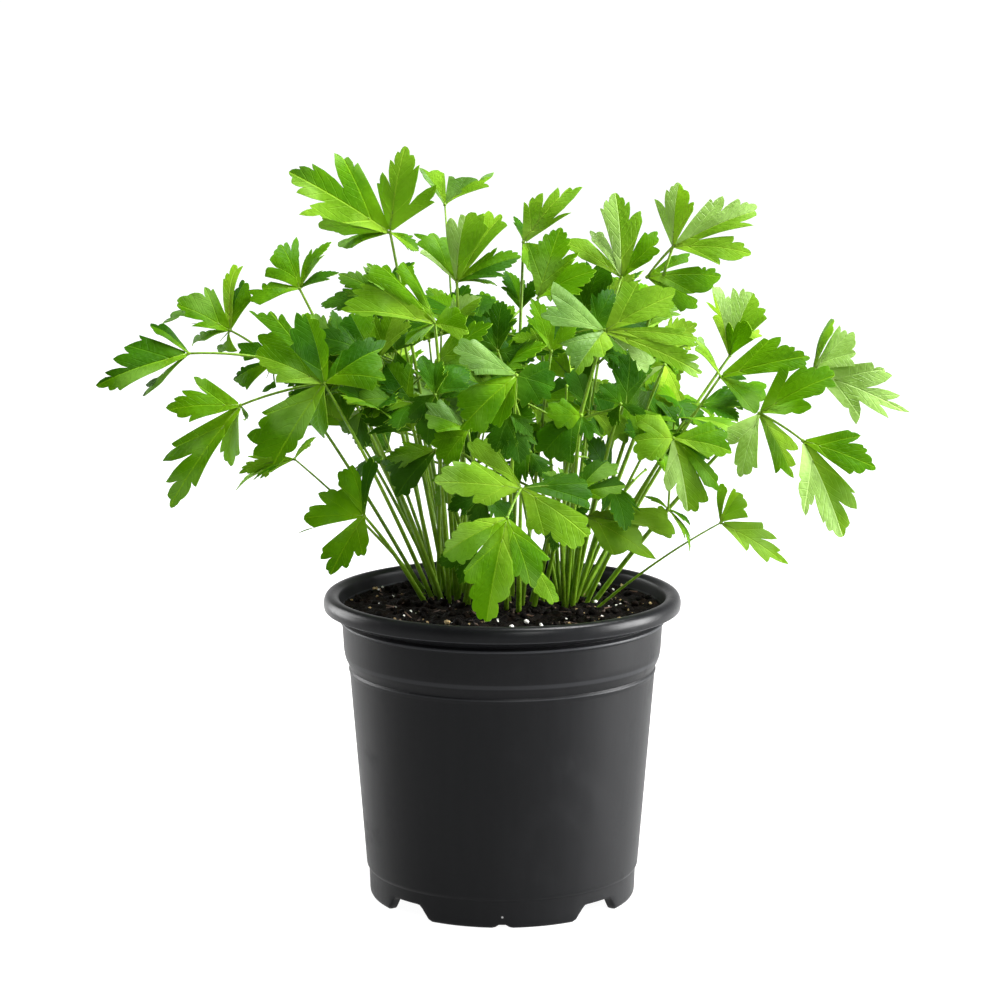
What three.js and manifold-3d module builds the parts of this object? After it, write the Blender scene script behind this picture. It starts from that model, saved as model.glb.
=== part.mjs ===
// Potted flat-leaf parsley in a black plastic nursery pot.
// Millimetres, +Z up. The origin is the middle of the pot's foot, on the surface that it
// stands on, and the front of the plant faces -Y.

import * as THREE from "three";
import { mergeVertices } from "three/addons/utils/BufferGeometryUtils.js";
import Module from "manifold-3d";

const wasm = await Module();
wasm.setup();

// Pot
const POT_HEIGHT = 134;
const RIM_RADIUS = 77.5;
const RIM_ROLL = 4.2; // half the width of the rolled lip
const RIM_START = -50; // the rolled lip runs from this angle, in degrees, over its top
const RIM_END = 153; // and down to this one inside
const FLARE_FOOT = 119.6; // height where the lip starts to flare out of the band
const BAND_TOP_RADIUS = 69.9;
const BAND_FOOT_RADIUS = 68;
const BAND_FOOT = 104;
const STEP_HEIGHT = 3; // the band's rounded lower edge
const BODY_TOP_RADIUS = 66.7;
const BODY_FOOT_RADIUS = 60;
const FOOT_RADIUS = 58.5;
const FOOT_HEIGHT = 12.6;
const FOOT_ROUND = 2.2;
const FOOT_WALL = 4;
const WALL = 1.5;
const FLOOR_UNDER = 8;
const FLOOR_TOP = 9.6;
const POT_SIDES = 32;
const ARCHES = 4;
const ARCH_HEIGHT = 6.8;
const ARCH_FOOT_WIDTH = 27;
const ARCH_TOP_WIDTH = 14;
const DIMPLE_HEIGHT = 1.3;
const DIMPLE_WIDTH = 6.5;
const DRAIN_RADIUS = 4.5;
const DRAIN_CIRCLE = 43;
const DRAIN_SIDES = 10;
const CUT_ROUND = 1; // rounding of the arches' upper corners, and their reach below the foot

// Soil
const CLEAR = 0.35; // gap between pieces that touch
const SOIL_EDGE = 122.5;
const SOIL_MOUND = 3.2;
const SOIL_RINGS = 3;
const SOIL_SIDES = 24;
const CRUMB = 0.75; // height of the soil's relief
const CRUMB_ACROSS = 0.31; // waves of the relief, in radians per millimetre
const CRUMB_ALONG = 0.27;
const CRUMB_SLANT = [0.53, -0.47];
const CRUMB_SHIFT = 0.8;

// Stems and leaves
const STEM_FOOT = 9; // how deep a stem stands in the soil
const STEM_FOOT_RADIUS = 1.45;
const STEM_TOP_RADIUS = 0.85;
const BRANCH_RADIUS = 0.75;
const STEM_SIDES = 5;
const STEM_STEPS = 3;
const BRANCH_STEPS = 2;
const STEM_BOW = 0.07; // rise of a stem over its straight line, as a share of its length
const KNOT_RADIUS = 1.9;
const STALK_START = 0.7; // a stalk's foot is sunk this near to the middle of its knot
const SMALL_LEAFLET = 25;
const BLADE_THICKNESS = 0.7;
const STALK_HALF_WIDTH = 0.7;
const STALK_END = 0.18; // where a leaflet's stalk widens into its blade, as a share of length
const LOPSIDED = 0.06; // how far one side lobe stands ahead of the other, at most
const BLADE_ARCH = 0.07;
const BLADE_FOLD = 0.3;
const BLADE_CURL = 0.85;

// The leaves are placed as they look from the front: x and z are read on the pot's mid
// plane, and each point is then carried along its line of sight to its own depth.
const EYE = new THREE.Vector3(0, -1320, 403);
const DEPTH_SPREAD = 1.3;

// A leaflet is [x, z, depth past its knot, tilt in degrees, width as a share of length].
// Tilt turns its upper face from the front up to the sky, and past 90 shows its underside.
// A knot is [[x, z, depth], leaflets], and a leafy stem is
// [name, [x, y] of its foot in the soil, knots]. The first knot ends the stem itself.
const LEAFY_STEMS = [
  ["far_left", [-29.5, 24], [
    [[-98, 236, 8], [[-116, 228, 4, 30, 0.85]]],
    [[-135, 239, 2], [[-175, 226, -6, 20, 0.72], [-151, 252, 4, 40, 0.5]]],
    [[-117, 249, 18], [[-141, 261, -3, 20, 0.85], [-111, 270, 6, 40, 0.6]]],
  ]],
  ["left_fan", [-28, 20], [
    [[-77, 226, -42], [[-107, 256, 4, 20, 0.7], [-106, 238, -6, 15, 0.55], [-99, 191, -8, 15, 0.85],
      [-80, 203, 10, 60, 0.7], [-52, 242, 6, 25, 0.8]]],
    [[-113, 216.5, -34], [[-145, 215, -4, 20, 0.75], [-144, 172, -8, 25, 0.62], [-118, 190, 6, 50, 0.6],
      [-134, 229, 4, 30, 0.45]]],
  ]],
  ["upper_left", [-25.5, 29], [
    [[-87, 267, 22], [[-95, 287, 4, 30, 0.8], [-109, 266, -4, 30, 0.6], [-70, 274, 4, 60, 0.5],
      [-74, 288, 8, 50, 0.4]]],
  ]],
  ["top_left", [-20, 22.5], [
    [[-48, 291, -8], [[-91, 317, -8, 15, 0.68], [-79, 294, 6, 155, 0.5], [-41.5, 328, 2, 15, 0.75],
      [-36, 283, 6, 40, 0.5]]],
  ]],
  ["far_top", [-14.5, 32], [
    [[-24.5, 303, 58], [[-36, 318, 2, 30, 0.7], [-4, 315, 4, 65, 0.45]]],
  ]],
  ["mid_left", [-19.5, 14.5], [
    [[-29, 252, -44], [[-69, 259, -6, 30, 0.55], [-55, 277, 0, 20, 0.55], [-42, 279, 4, 20, 0.5],
      [-17, 243, -8, 15, 0.75]]],
  ]],
  ["centre_top", [-15.5, 19.5], [
    [[-19.5, 270, -16], [[-39, 288, 2, 30, 0.55], [-16, 299, 0, 20, 0.7], [-1, 297, 6, 20, 0.5],
      [8, 281, 4, 30, 0.5]]],
  ]],
  ["top_middle", [4, 10.5], [
    [[9, 287, 10], [[27, 309, 2, 20, 0.85], [21, 268, -4, 20, 0.75]]],
  ]],
  ["right_top", [11, 11.5], [
    [[51, 272, 2], [[48.5, 308, 2, 15, 0.7], [67, 290, 2, 20, 0.8],
      [23, 289, 6, 30, 0.45]]],
  ]],
  ["right_crown", [27, 15.5], [
    [[73, 285, -24], [[75, 312, 2, 15, 0.65], [109, 301, 0, 20, 0.5], [106, 283, -6, 25, 0.5]]],
    [[62, 272, -20], [[93, 272, -2, 20, 0.6], [84, 260, 0, 25, 0.55]]],
  ]],
  ["centre_right", [12, 0], [
    [[44, 249, -62], [[17, 257, -4, 25, 0.5], [30, 233, -10, 10, 0.85], [73, 264, 4, 20, 0.65],
      [82, 248, -2, 20, 0.4], [86, 231, -6, 15, 0.6]]],
  ]],
  ["right_pale", [32, 19.5], [
    [[98, 238, 40], [[90, 268, 4, 20, 0.5], [105, 267, 4, 155, 0.8], [106, 253, -6, 30, 0.6]]],
  ]],
  ["far_right", [39.5, 12.5], [
    [[111, 213, -16], [[143, 230, -2, 20, 0.62], [133, 216, -8, 30, 0.4], [104, 186, -8, 155, 0.6],
      [125, 186, -6, 20, 0.6]]],
    [[130, 201, -24], [[162, 189, -6, 20, 0.6], [148, 159, -8, 20, 0.6]]],
    [[134, 231, 8], [[176, 213, -6, 155, 0.6], [150, 248, 4, 150, 0.6]]],
  ]],
  ["right_middle", [35.5, 16], [
    [[94, 229, 10], [[133, 238, -2, 20, 0.6], [110, 212, -6, 40, 0.6],
      [107, 231, 8, 30, 0.5]]],
  ]],
  ["right_low", [37.5, 8.5], [
    [[74, 202, -38], [[57, 202, -2, 155, 0.95], [100, 196, -4, 25, 0.6], [94, 181, -6, 25, 0.5],
      [81, 170, -8, 15, 0.75]]],
    [[72, 171, -28], [[82, 164, 0, 60, 0.35]]],
  ]],
  ["right_trailing", [36.5, 3.5], [
    [[95, 165, -22], [[104, 180, 2, 25, 0.75], [124, 147, -4, 20, 0.6]]],
  ]],
  ["right_inner", [31, 2.5], [
    [[36, 168, -24], [[65, 150, -6, 20, 0.6], [76, 161, -4, 30, 0.5]]],
  ]],
  ["front", [7, -4], [
    [[8, 180, -66], [[-29, 183, -8, 15, 0.6], [-13, 203, 6, 20, 0.55], [37, 160, -8, 15, 0.75],
      [52, 181, 8, 30, 0.45]]],
    [[2, 167, -78], [[-24, 150, -6, 15, 0.75], [-7, 121, -12, 10, 0.6], [13, 137, -8, 15, 0.65]]],
  ]],
  ["front_centre", [1.5, 0.5], [
    [[6, 229.5, -72], [[-21, 244, 0, 25, 0.45], [-17, 208, -8, 15, 0.8], [-2, 208, -4, 15, 0.55],
      [25, 222, 2, 20, 0.85]]],
  ]],
  ["left_low", [-30.5, 15.5], [
    [[-60, 168, -26], [[-86, 167, -4, 20, 0.75], [-66, 190, 4, 25, 0.65], [-75, 142, -6, 15, 0.85],
      [-54, 192, -4, 30, 0.4]]],
  ]],
  ["far_low_left", [-27, 33], [
    [[-90, 193, 62], [[-114, 187, 2, 150, 0.5]]],
  ]],
  ["centre_right_low", [15.5, 5], [
    [[37, 214, -21], [[31, 231, 4, 25, 0.8], [20, 209, -2, 20, 0.7], [57, 206, 0, 25, 0.7],
      [17, 196, -4, 20, 0.8]]],
  ]],
  ["right_hollow", [29.5, 10.5], [
    [[70, 234, -8], [[74, 217, -4, 20, 0.9], [52, 226, 4, 30, 0.7], [60, 212, 8, 25, 0.6]]],
  ]],
  ["low_left", [-6.5, 8], [
    [[-29, 197, -14], [[-46, 178, -4, 25, 0.95], [-50, 193, 2, 30, 0.6]]],
  ]],
  ["low_centre", [-3, 3.5], [
    [[-15, 206, -46], [[-33, 216, 0, 20, 0.7], [-25, 191, -4, 20, 0.85], [-16, 222, 4, 30, 0.6]]],
  ]],
  ["left_shade", [-15.5, 27.5], [
    [[-29, 221, 6], [[-52, 236, 2, 25, 0.6], [-34, 238, 8, 25, 0.6], [-22, 237, 4, 25, 0.6]]],
  ]],
  ["left_inner", [-24, 17.5], [
    [[-60, 214, -14], [[-42, 215, -4, 20, 0.7], [-69, 207, 0, 30, 0.7], [-62, 197, 2, 40, 0.7]]],
  ]],
  ["shade_top", [-11, 24], [
    [[-22, 248, 24], [[-31, 268, 2, 25, 0.7], [-15, 269, 2, 25, 0.7], [-44, 250, 4, 25, 0.7]]],
  ]],
  ["shade_centre", [0.5, 14.5], [
    [[-4, 244, 20], [[-9, 266, 4, 20, 0.8], [5, 260, 6, 25, 0.6], [12, 244, 2, 25, 0.7]]],
  ]],
  ["shade_right", [24, 11.5], [
    [[34, 254, 22], [[43, 278, 2, 20, 0.75], [28, 275, 4, 25, 0.6], [49, 262, 4, 30, 0.6]]],
  ]],
  ["left_hollow", [-24.5, 21.5], [
    [[-71, 238, 18], [[-72, 258, 2, 30, 0.5], [-62, 254, 4, 30, 0.5], [-86, 256, -2, 25, 0.7]]],
  ]],
  ["shade_left", [-20.5, 26.5], [
    [[-46, 262, 12], [[-70, 274, 2, 20, 0.55], [-58, 278, 4, 25, 0.6]]],
  ]],
  ["centre_strip", [8, 6.5], [
    [[21, 240, -22], [[13, 263, 2, 20, 0.55], [4, 247, 6, 30, 0.6], [32, 252, 4, 30, 0.6]]],
  ]],
  ["low_right", [26.5, 5], [
    [[32, 178, -42], [[46, 193, 4, 25, 0.8], [17, 187, 2, 25, 0.7]]],
  ]],
  ["back_left", [-20.5, 31], [
    [[-44, 236, 78], [[-64, 250, 4, 30, 0.8], [-36, 262, 6, 30, 0.8], [-56, 220, 8, 20, 0.8]]],
  ]],
  ["back_far_left", [-24, 36], [
    [[-72, 228, 66], [[-96, 240, 6, 30, 0.8], [-66, 250, 8, 30, 0.8], [-84, 214, 8, 20, 0.8]]],
  ]],
  ["back_middle", [2, 20.5], [
    [[-6, 222, 84], [[-24, 238, 6, 30, 0.8], [8, 246, 4, 30, 0.8], [-12, 202, 8, 20, 0.8]]],
  ]],
  ["back_right", [24, 21], [
    [[30, 228, 82], [[14, 244, 6, 30, 0.8], [42, 254, 4, 30, 0.8], [46, 216, 8, 20, 0.8]]],
  ]],
  ["back_far_right", [34, 24], [
    [[66, 240, 64], [[56, 262, 6, 30, 0.8], [84, 252, 6, 30, 0.8], [76, 226, 8, 20, 0.8]]],
  ]],
];

const COLOURS = {
  pot: { color: 0x2a2b2e, roughness: 0.5, metalness: 0 },
  soil: { color: 0x1d1612, roughness: 1, metalness: 0 },
  leaf: { color: 0x4f8f1c, roughness: 0.5, metalness: 0 },
};

const UP = new THREE.Vector3(0, 0, 1);

// A closed three.js geometry as a solid that can be joined and cut.
function solidOf(geometry) {
  const bare = geometry.clone();
  bare.deleteAttribute("normal");
  bare.deleteAttribute("uv");
  const merged = mergeVertices(bare, 1e-4);
  const vertProperties = new Float32Array(merged.attributes.position.array);
  const triVerts = new Uint32Array(merged.index.array);
  return new wasm.Manifold(new wasm.Mesh({ numProp: 3, vertProperties, triVerts }));
}

// A solid as a named mesh.
function meshOf(name, solid, look) {
  const { vertProperties, triVerts } = solid.getMesh();
  const geometry = new THREE.BufferGeometry();
  geometry.setAttribute("position", new THREE.BufferAttribute(vertProperties, 3));
  geometry.setIndex(new THREE.BufferAttribute(triVerts, 1));
  const faceted = geometry.toNonIndexed();
  faceted.computeVertexNormals();
  const mesh = new THREE.Mesh(faceted, new THREE.MeshStandardMaterial(look));
  mesh.name = name;
  return mesh;
}

// A profile of radius and height points turned about the Z axis.
function turned(profile, sides) {
  return new THREE.LatheGeometry(profile, sides).rotateX(Math.PI / 2);
}

// The pot's wall, foot, floor and rolled lip in section.
function potProfile() {
  const lipX = RIM_RADIUS - RIM_ROLL;
  const lipZ = POT_HEIGHT - RIM_ROLL;
  const lipStart = THREE.MathUtils.degToRad(RIM_START);
  const lipEnd = THREE.MathUtils.degToRad(RIM_END);
  const outline = new THREE.Path();
  outline.moveTo(0, FLOOR_UNDER);
  outline.lineTo(FOOT_RADIUS - FOOT_WALL, FLOOR_UNDER);
  outline.lineTo(FOOT_RADIUS - FOOT_WALL, 0);
  outline.lineTo(FOOT_RADIUS - FOOT_ROUND, 0);
  outline.lineTo(FOOT_RADIUS - 0.3 * FOOT_ROUND, 0.4 * FOOT_ROUND);
  outline.lineTo(FOOT_RADIUS, 1.5 * FOOT_ROUND);
  outline.lineTo(FOOT_RADIUS, FOOT_HEIGHT);
  outline.lineTo(BODY_FOOT_RADIUS, FOOT_HEIGHT + WALL);
  outline.lineTo(BODY_TOP_RADIUS, BAND_FOOT - STEP_HEIGHT);
  outline.lineTo(BAND_FOOT_RADIUS, BAND_FOOT);
  outline.lineTo(BAND_TOP_RADIUS, FLARE_FOOT);
  outline.absarc(lipX, lipZ, RIM_ROLL, lipStart, lipEnd, false);
  outline.lineTo(BAND_TOP_RADIUS - WALL, FLARE_FOOT + WALL);
  outline.lineTo(BAND_FOOT_RADIUS - WALL, BAND_FOOT);
  outline.lineTo(BODY_TOP_RADIUS - WALL, BAND_FOOT - STEP_HEIGHT - WALL);
  outline.lineTo(BODY_FOOT_RADIUS - WALL, FOOT_HEIGHT + WALL);
  outline.lineTo(BODY_FOOT_RADIUS - 2 * WALL, FLOOR_TOP);
  outline.lineTo(0, FLOOR_TOP);
  return outline.getPoints(3);
}

// A block with the outline of an arch or dimple, lying across the foot ring at an angle.
function footCut(footWidth, topWidth, height, angle) {
  const face = new THREE.Shape();
  const inner = topWidth / 2 - CUT_ROUND;
  const outer = topWidth / 2 + CUT_ROUND;
  face.moveTo(-footWidth / 2, -CUT_ROUND);
  face.lineTo(footWidth / 2, -CUT_ROUND);
  face.quadraticCurveTo(outer, height, inner, height);
  face.lineTo(-inner, height);
  face.quadraticCurveTo(-outer, height, -footWidth / 2, -CUT_ROUND);
  const options = { depth: 3 * FOOT_WALL, bevelEnabled: false, curveSegments: 3 };
  const block = new THREE.ExtrudeGeometry(face, options);
  block.rotateX(Math.PI / 2);
  block.translate(0, FOOT_RADIUS + FOOT_WALL, 0);
  return block.rotateZ(angle);
}

function potSolid() {
  let pot = solidOf(turned(potProfile(), POT_SIDES));
  for (let i = 0; i < ARCHES; i += 1) {
    const quarter = (i * 2 * Math.PI) / ARCHES;
    const eighth = quarter + Math.PI / ARCHES;
    const arch = footCut(ARCH_FOOT_WIDTH, ARCH_TOP_WIDTH, ARCH_HEIGHT, eighth);
    const dimple = footCut(DIMPLE_WIDTH, DIMPLE_WIDTH / 2, DIMPLE_HEIGHT, quarter);
    const reach = 3 * FLOOR_TOP;
    const drain = new THREE.CylinderGeometry(DRAIN_RADIUS, DRAIN_RADIUS, reach, DRAIN_SIDES);
    drain.rotateX(Math.PI / 2);
    drain.translate(DRAIN_CIRCLE * Math.sin(eighth), DRAIN_CIRCLE * Math.cos(eighth), 0);
    pot = pot.subtract(solidOf(arch)).subtract(solidOf(dimple)).subtract(solidOf(drain));
  }
  return pot;
}

// Height of the soil's surface: a low mound with crumbs.
function soilHeight(x, y) {
  const share = Math.hypot(x, y) / BAND_TOP_RADIUS;
  const mound = SOIL_MOUND * (1 - share * share);
  const lumps = Math.sin(CRUMB_ACROSS * x + CRUMB_SHIFT) * Math.sin(CRUMB_ALONG * y);
  const ridges = Math.sin(CRUMB_SLANT[0] * x + CRUMB_SLANT[1] * y);
  return SOIL_EDGE + mound + 0.5 * CRUMB * (lumps + ridges);
}

// The soil fills the pot up to its surface, a little clear of the wall and the floor.
function soilSolid() {
  const edge = BAND_TOP_RADIUS - WALL - 2 * CLEAR;
  const profile = [
    new THREE.Vector2(0, FLOOR_TOP + CLEAR),
    new THREE.Vector2(BODY_FOOT_RADIUS - 2 * WALL - 2 * CLEAR, FLOOR_TOP + CLEAR),
    new THREE.Vector2(BODY_FOOT_RADIUS - WALL - 2 * CLEAR, FOOT_HEIGHT + WALL),
    new THREE.Vector2(BODY_TOP_RADIUS - WALL - 2 * CLEAR, BAND_FOOT - STEP_HEIGHT - WALL),
    new THREE.Vector2(BAND_FOOT_RADIUS - WALL - 2 * CLEAR, BAND_FOOT),
    new THREE.Vector2(edge, SOIL_EDGE - 2 * CRUMB),
  ];
  for (let ring = SOIL_RINGS; ring >= 0; ring -= 1) {
    profile.push(new THREE.Vector2((edge * ring) / (SOIL_RINGS + 1), SOIL_EDGE));
  }
  const geometry = turned(profile, SOIL_SIDES);
  const place = geometry.attributes.position;
  for (let i = 0; i < place.count; i += 1) {
    if (place.getZ(i) > SOIL_EDGE - CRUMB) {
      place.setZ(i, soilHeight(place.getX(i), place.getY(i)));
    }
  }
  return solidOf(geometry);
}

// The point at a depth behind the mid plane that looks, from the front, to be at x, z on it.
function seen(x, z, depth) {
  const y = DEPTH_SPREAD * depth;
  return new THREE.Vector3(x, 0, z).lerp(EYE, -y / -EYE.y);
}

// A round bar along a curve, with its radius going from one end's to the other's.
function bar(curve, startRadius, endRadius, steps) {
  const ring = [];
  for (let i = 0; i < STEM_SIDES; i += 1) {
    const angle = (2 * Math.PI * i) / STEM_SIDES;
    ring.push(new THREE.Vector2(Math.cos(angle), Math.sin(angle)));
  }
  const options = { steps, bevelEnabled: false, extrudePath: curve };
  const geometry = new THREE.ExtrudeGeometry(new THREE.Shape(ring), options);
  const middles = curve.getSpacedPoints(steps);
  const place = geometry.attributes.position;
  const corner = new THREE.Vector3();
  for (let i = 0; i < place.count; i += 1) {
    corner.fromBufferAttribute(place, i);
    const gaps = middles.map((middle) => middle.distanceTo(corner));
    const step = gaps.indexOf(Math.min(...gaps));
    const radius = startRadius + ((endRadius - startRadius) * step) / steps;
    corner.sub(middles[step]).multiplyScalar(radius).add(middles[step]);
    place.setXYZ(i, corner.x, corner.y, corner.z);
  }
  return geometry;
}

// A stem's line between two points, bowed up a little.
function bowed(start, end, bow) {
  const rise = UP.clone().multiplyScalar(bow * start.distanceTo(end));
  const third = start.clone().lerp(end, 1 / 3).add(rise);
  const twoThirds = start.clone().lerp(end, 2 / 3).add(rise);
  return new THREE.CubicBezierCurve3(start, third, twoThirds, end);
}

// Height of a blade over its flat plane, all in shares of its length.
function bladeRise(u, v) {
  const side = Math.abs(v);
  return BLADE_ARCH * 4 * u * (1 - u) + BLADE_FOLD * side - BLADE_CURL * side * side;
}

// Corners of a blade as [share of length, share of width]: its rib and tip, then one half
// with the side lobe's outer edge and tip, the notch, and, on a large blade only, the side
// lobe's inner tooth and the middle lobe's shoulder.
const RIB = [[0.45, 0], [1, 0]];
const LARGE = {
  half: [[0.43, 0.36], [0.66, 0.5], [0.75, 0.34], [0.5, 0.14], [0.79, 0.24]],
  faces: [[3, 4, 9], [3, 9, 6], [6, 9, 8], [6, 8, 7], [4, 10, 9], [4, 5, 10]],
  edge: [10, 9, 8, 7, 6],
};
const SMALL = {
  half: [[0.45, 0.38], [0.72, 0.48], [0.52, 0.16]],
  faces: [[3, 4, 8], [3, 8, 6], [6, 8, 7], [4, 5, 8]],
  edge: [8, 7, 6],
};
const STALK_FACES = [[0, 2, 3], [0, 3, 1], [2, 4, 3]];

// A leaflet from its knot to its tip: a thin, folded, three-lobed blade on a short stalk.
function leafletSolid(knot, tip, tilt, width, lopsided) {
  const length = knot.distanceTo(tip);
  const along = tip.clone().sub(knot).normalize();
  const facing = EYE.clone().sub(knot).projectOnPlane(along).normalize();
  const skyward = along.clone().cross(facing);
  if (skyward.z < 0) skyward.negate();
  const angle = THREE.MathUtils.degToRad(tilt);
  const face = facing.multiplyScalar(Math.cos(angle)).addScaledVector(skyward, Math.sin(angle));
  const across = face.clone().cross(along);

  const start = STALK_START / length;
  const half = STALK_HALF_WIDTH / length;
  const pattern = length > SMALL_LEAFLET ? LARGE : SMALL;
  const corners = [[start, -half], [start, half], [STALK_END, -half], [STALK_END, half]];
  for (const [u, v] of RIB) corners.push([u, v * width]);
  for (const [u, v] of pattern.half) corners.push([u * (1 + lopsided), v * width]);
  for (const [u, v] of pattern.half) corners.push([u * (1 - lopsided), -v * width]);

  const positions = [];
  for (const side of [0.5, -0.5]) {
    for (const [u, v] of corners) {
      const point = knot.clone().addScaledVector(along, u * length);
      point.addScaledVector(across, v * length);
      point.addScaledVector(face, bladeRise(u, v) * length + side * BLADE_THICKNESS);
      positions.push(point.x, point.y, point.z);
    }
  }
  const back = corners.length;
  const mirror = (a) => [1, 0, 3, 2, 4, 5][a] ?? a + pattern.half.length;
  const upper = [...STALK_FACES, ...pattern.faces];
  for (const [a, b, c] of pattern.faces) upper.push([mirror(a), mirror(c), mirror(b)]);
  const index = [];
  for (const [a, b, c] of upper) {
    index.push(a, b, c);
    index.push(back + a, back + c, back + b);
  }
  const edge = [0, 2, ...pattern.edge.map(mirror).reverse(), 5, ...pattern.edge, 3, 1];
  edge.forEach((a, i) => {
    const b = edge[(i + 1) % edge.length];
    index.push(back + a, back + b, b);
    index.push(back + a, b, a);
  });
  const geometry = new THREE.BufferGeometry();
  geometry.setAttribute("position", new THREE.Float32BufferAttribute(positions, 3));
  geometry.setIndex(index);
  return solidOf(geometry);
}

// The line of a leafy stem from its foot in the soil to its first knot.
function stemLine([footX, footY], [x, z, depth]) {
  const foot = new THREE.Vector3(footX, footY, soilHeight(footX, footY) - STEM_FOOT);
  return bowed(foot, seen(x, z, depth), STEM_BOW);
}

// A leafy stem: its bar, the branches from its first knot to the others, and all leaflets.
function leafyStemSolid(foot, knots) {
  const line = stemLine(foot, knots[0][0]);
  let stem = solidOf(bar(line, STEM_FOOT_RADIUS, STEM_TOP_RADIUS, STEM_STEPS));
  const first = seen(...knots[0][0]);
  knots.forEach(([place, leaflets], order) => {
    const knot = seen(...place);
    const bead = new THREE.OctahedronGeometry(KNOT_RADIUS).translate(knot.x, knot.y, knot.z);
    stem = stem.add(solidOf(bead));
    if (order > 0) {
      const branch = bar(bowed(first, knot, STEM_BOW), BRANCH_RADIUS, BRANCH_RADIUS, BRANCH_STEPS);
      stem = stem.add(solidOf(branch));
    }
    leaflets.forEach(([x, z, reach, tilt, width], i) => {
      const tip = seen(x, z, place[2] + reach);
      const lopsided = LOPSIDED * Math.sin(x + 2 * i);
      stem = stem.add(leafletSolid(knot, tip, tilt, width, lopsided));
    });
  });
  return stem;
}

// A plain hole in the soil for a stem: its own line's lower end, a little wider.
function stemHole(foot, knots) {
  const line = stemLine(foot, knots[0][0]);
  const points = line.getSpacedPoints(STEM_STEPS);
  const below = line.getTangent(0).multiplyScalar(-CLEAR).add(points[0]);
  const path = new THREE.LineCurve3(below, points[1]);
  return solidOf(bar(path, STEM_FOOT_RADIUS + CLEAR, STEM_FOOT_RADIUS + CLEAR, 1));
}

const pottedParsley = new THREE.Group();
pottedParsley.add(meshOf("pot", potSolid(), COLOURS.pot));
let soil = soilSolid();
for (const [name, foot, knots] of LEAFY_STEMS) {
  soil = soil.subtract(stemHole(foot, knots));
  pottedParsley.add(meshOf("stem_" + name, leafyStemSolid(foot, knots), COLOURS.leaf));
}
pottedParsley.add(meshOf("soil", soil, COLOURS.soil));

export default pottedParsley;
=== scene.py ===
# %% [markdown]
# # A pot of flat-leaf parsley
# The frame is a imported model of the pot, its soil and each leafy stem, at real size. This
# lesson dresses it: every stem gets thin, toothed and veined leaflets in place of its plain
# blades, the pot gets smooth walls, and the soil gets crumbs, bark and perlite. Everything
# rides on the one body of the frame, because nothing in the plant moves.

# %% Load the frame
import math
import random

import bmesh
import bpy
from mathutils import Matrix, Vector, noise
from mathutils.geometry import interpolate_bezier


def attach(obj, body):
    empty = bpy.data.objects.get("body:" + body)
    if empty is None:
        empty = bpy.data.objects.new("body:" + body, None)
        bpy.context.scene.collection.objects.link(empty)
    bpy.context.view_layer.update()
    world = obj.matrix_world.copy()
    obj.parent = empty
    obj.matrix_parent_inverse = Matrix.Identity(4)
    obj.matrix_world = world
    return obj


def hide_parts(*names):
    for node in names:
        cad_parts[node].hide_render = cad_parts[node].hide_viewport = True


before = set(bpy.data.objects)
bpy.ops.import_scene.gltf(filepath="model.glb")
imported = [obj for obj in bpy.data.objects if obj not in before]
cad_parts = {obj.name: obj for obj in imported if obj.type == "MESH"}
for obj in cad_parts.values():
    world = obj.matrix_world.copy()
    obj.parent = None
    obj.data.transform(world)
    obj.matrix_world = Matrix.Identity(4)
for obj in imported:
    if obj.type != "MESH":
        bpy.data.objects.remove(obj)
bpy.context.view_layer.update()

MM = 0.001

# %% [markdown]
# ## Where the leaves are
# A parsley leaf is a long stem that forks at knots, and each knot carries a few leaflets. The
# plant's look comes from where its knots and leaflet tips lie, so they are listed one by one,
# as they look from the front: x and z on the pot's mid plane, in millimetres. Each point is
# then carried along its line of sight to its own depth, which keeps the front view and gives
# the bush its body. The same rule places the plain blades of the frame, so the two agree.

# %% The leafy stems
EYE = Vector((0, -1.320, 0.403))
DEPTH_SPREAD = 1.3
STEM_BOW = 0.045

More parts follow.
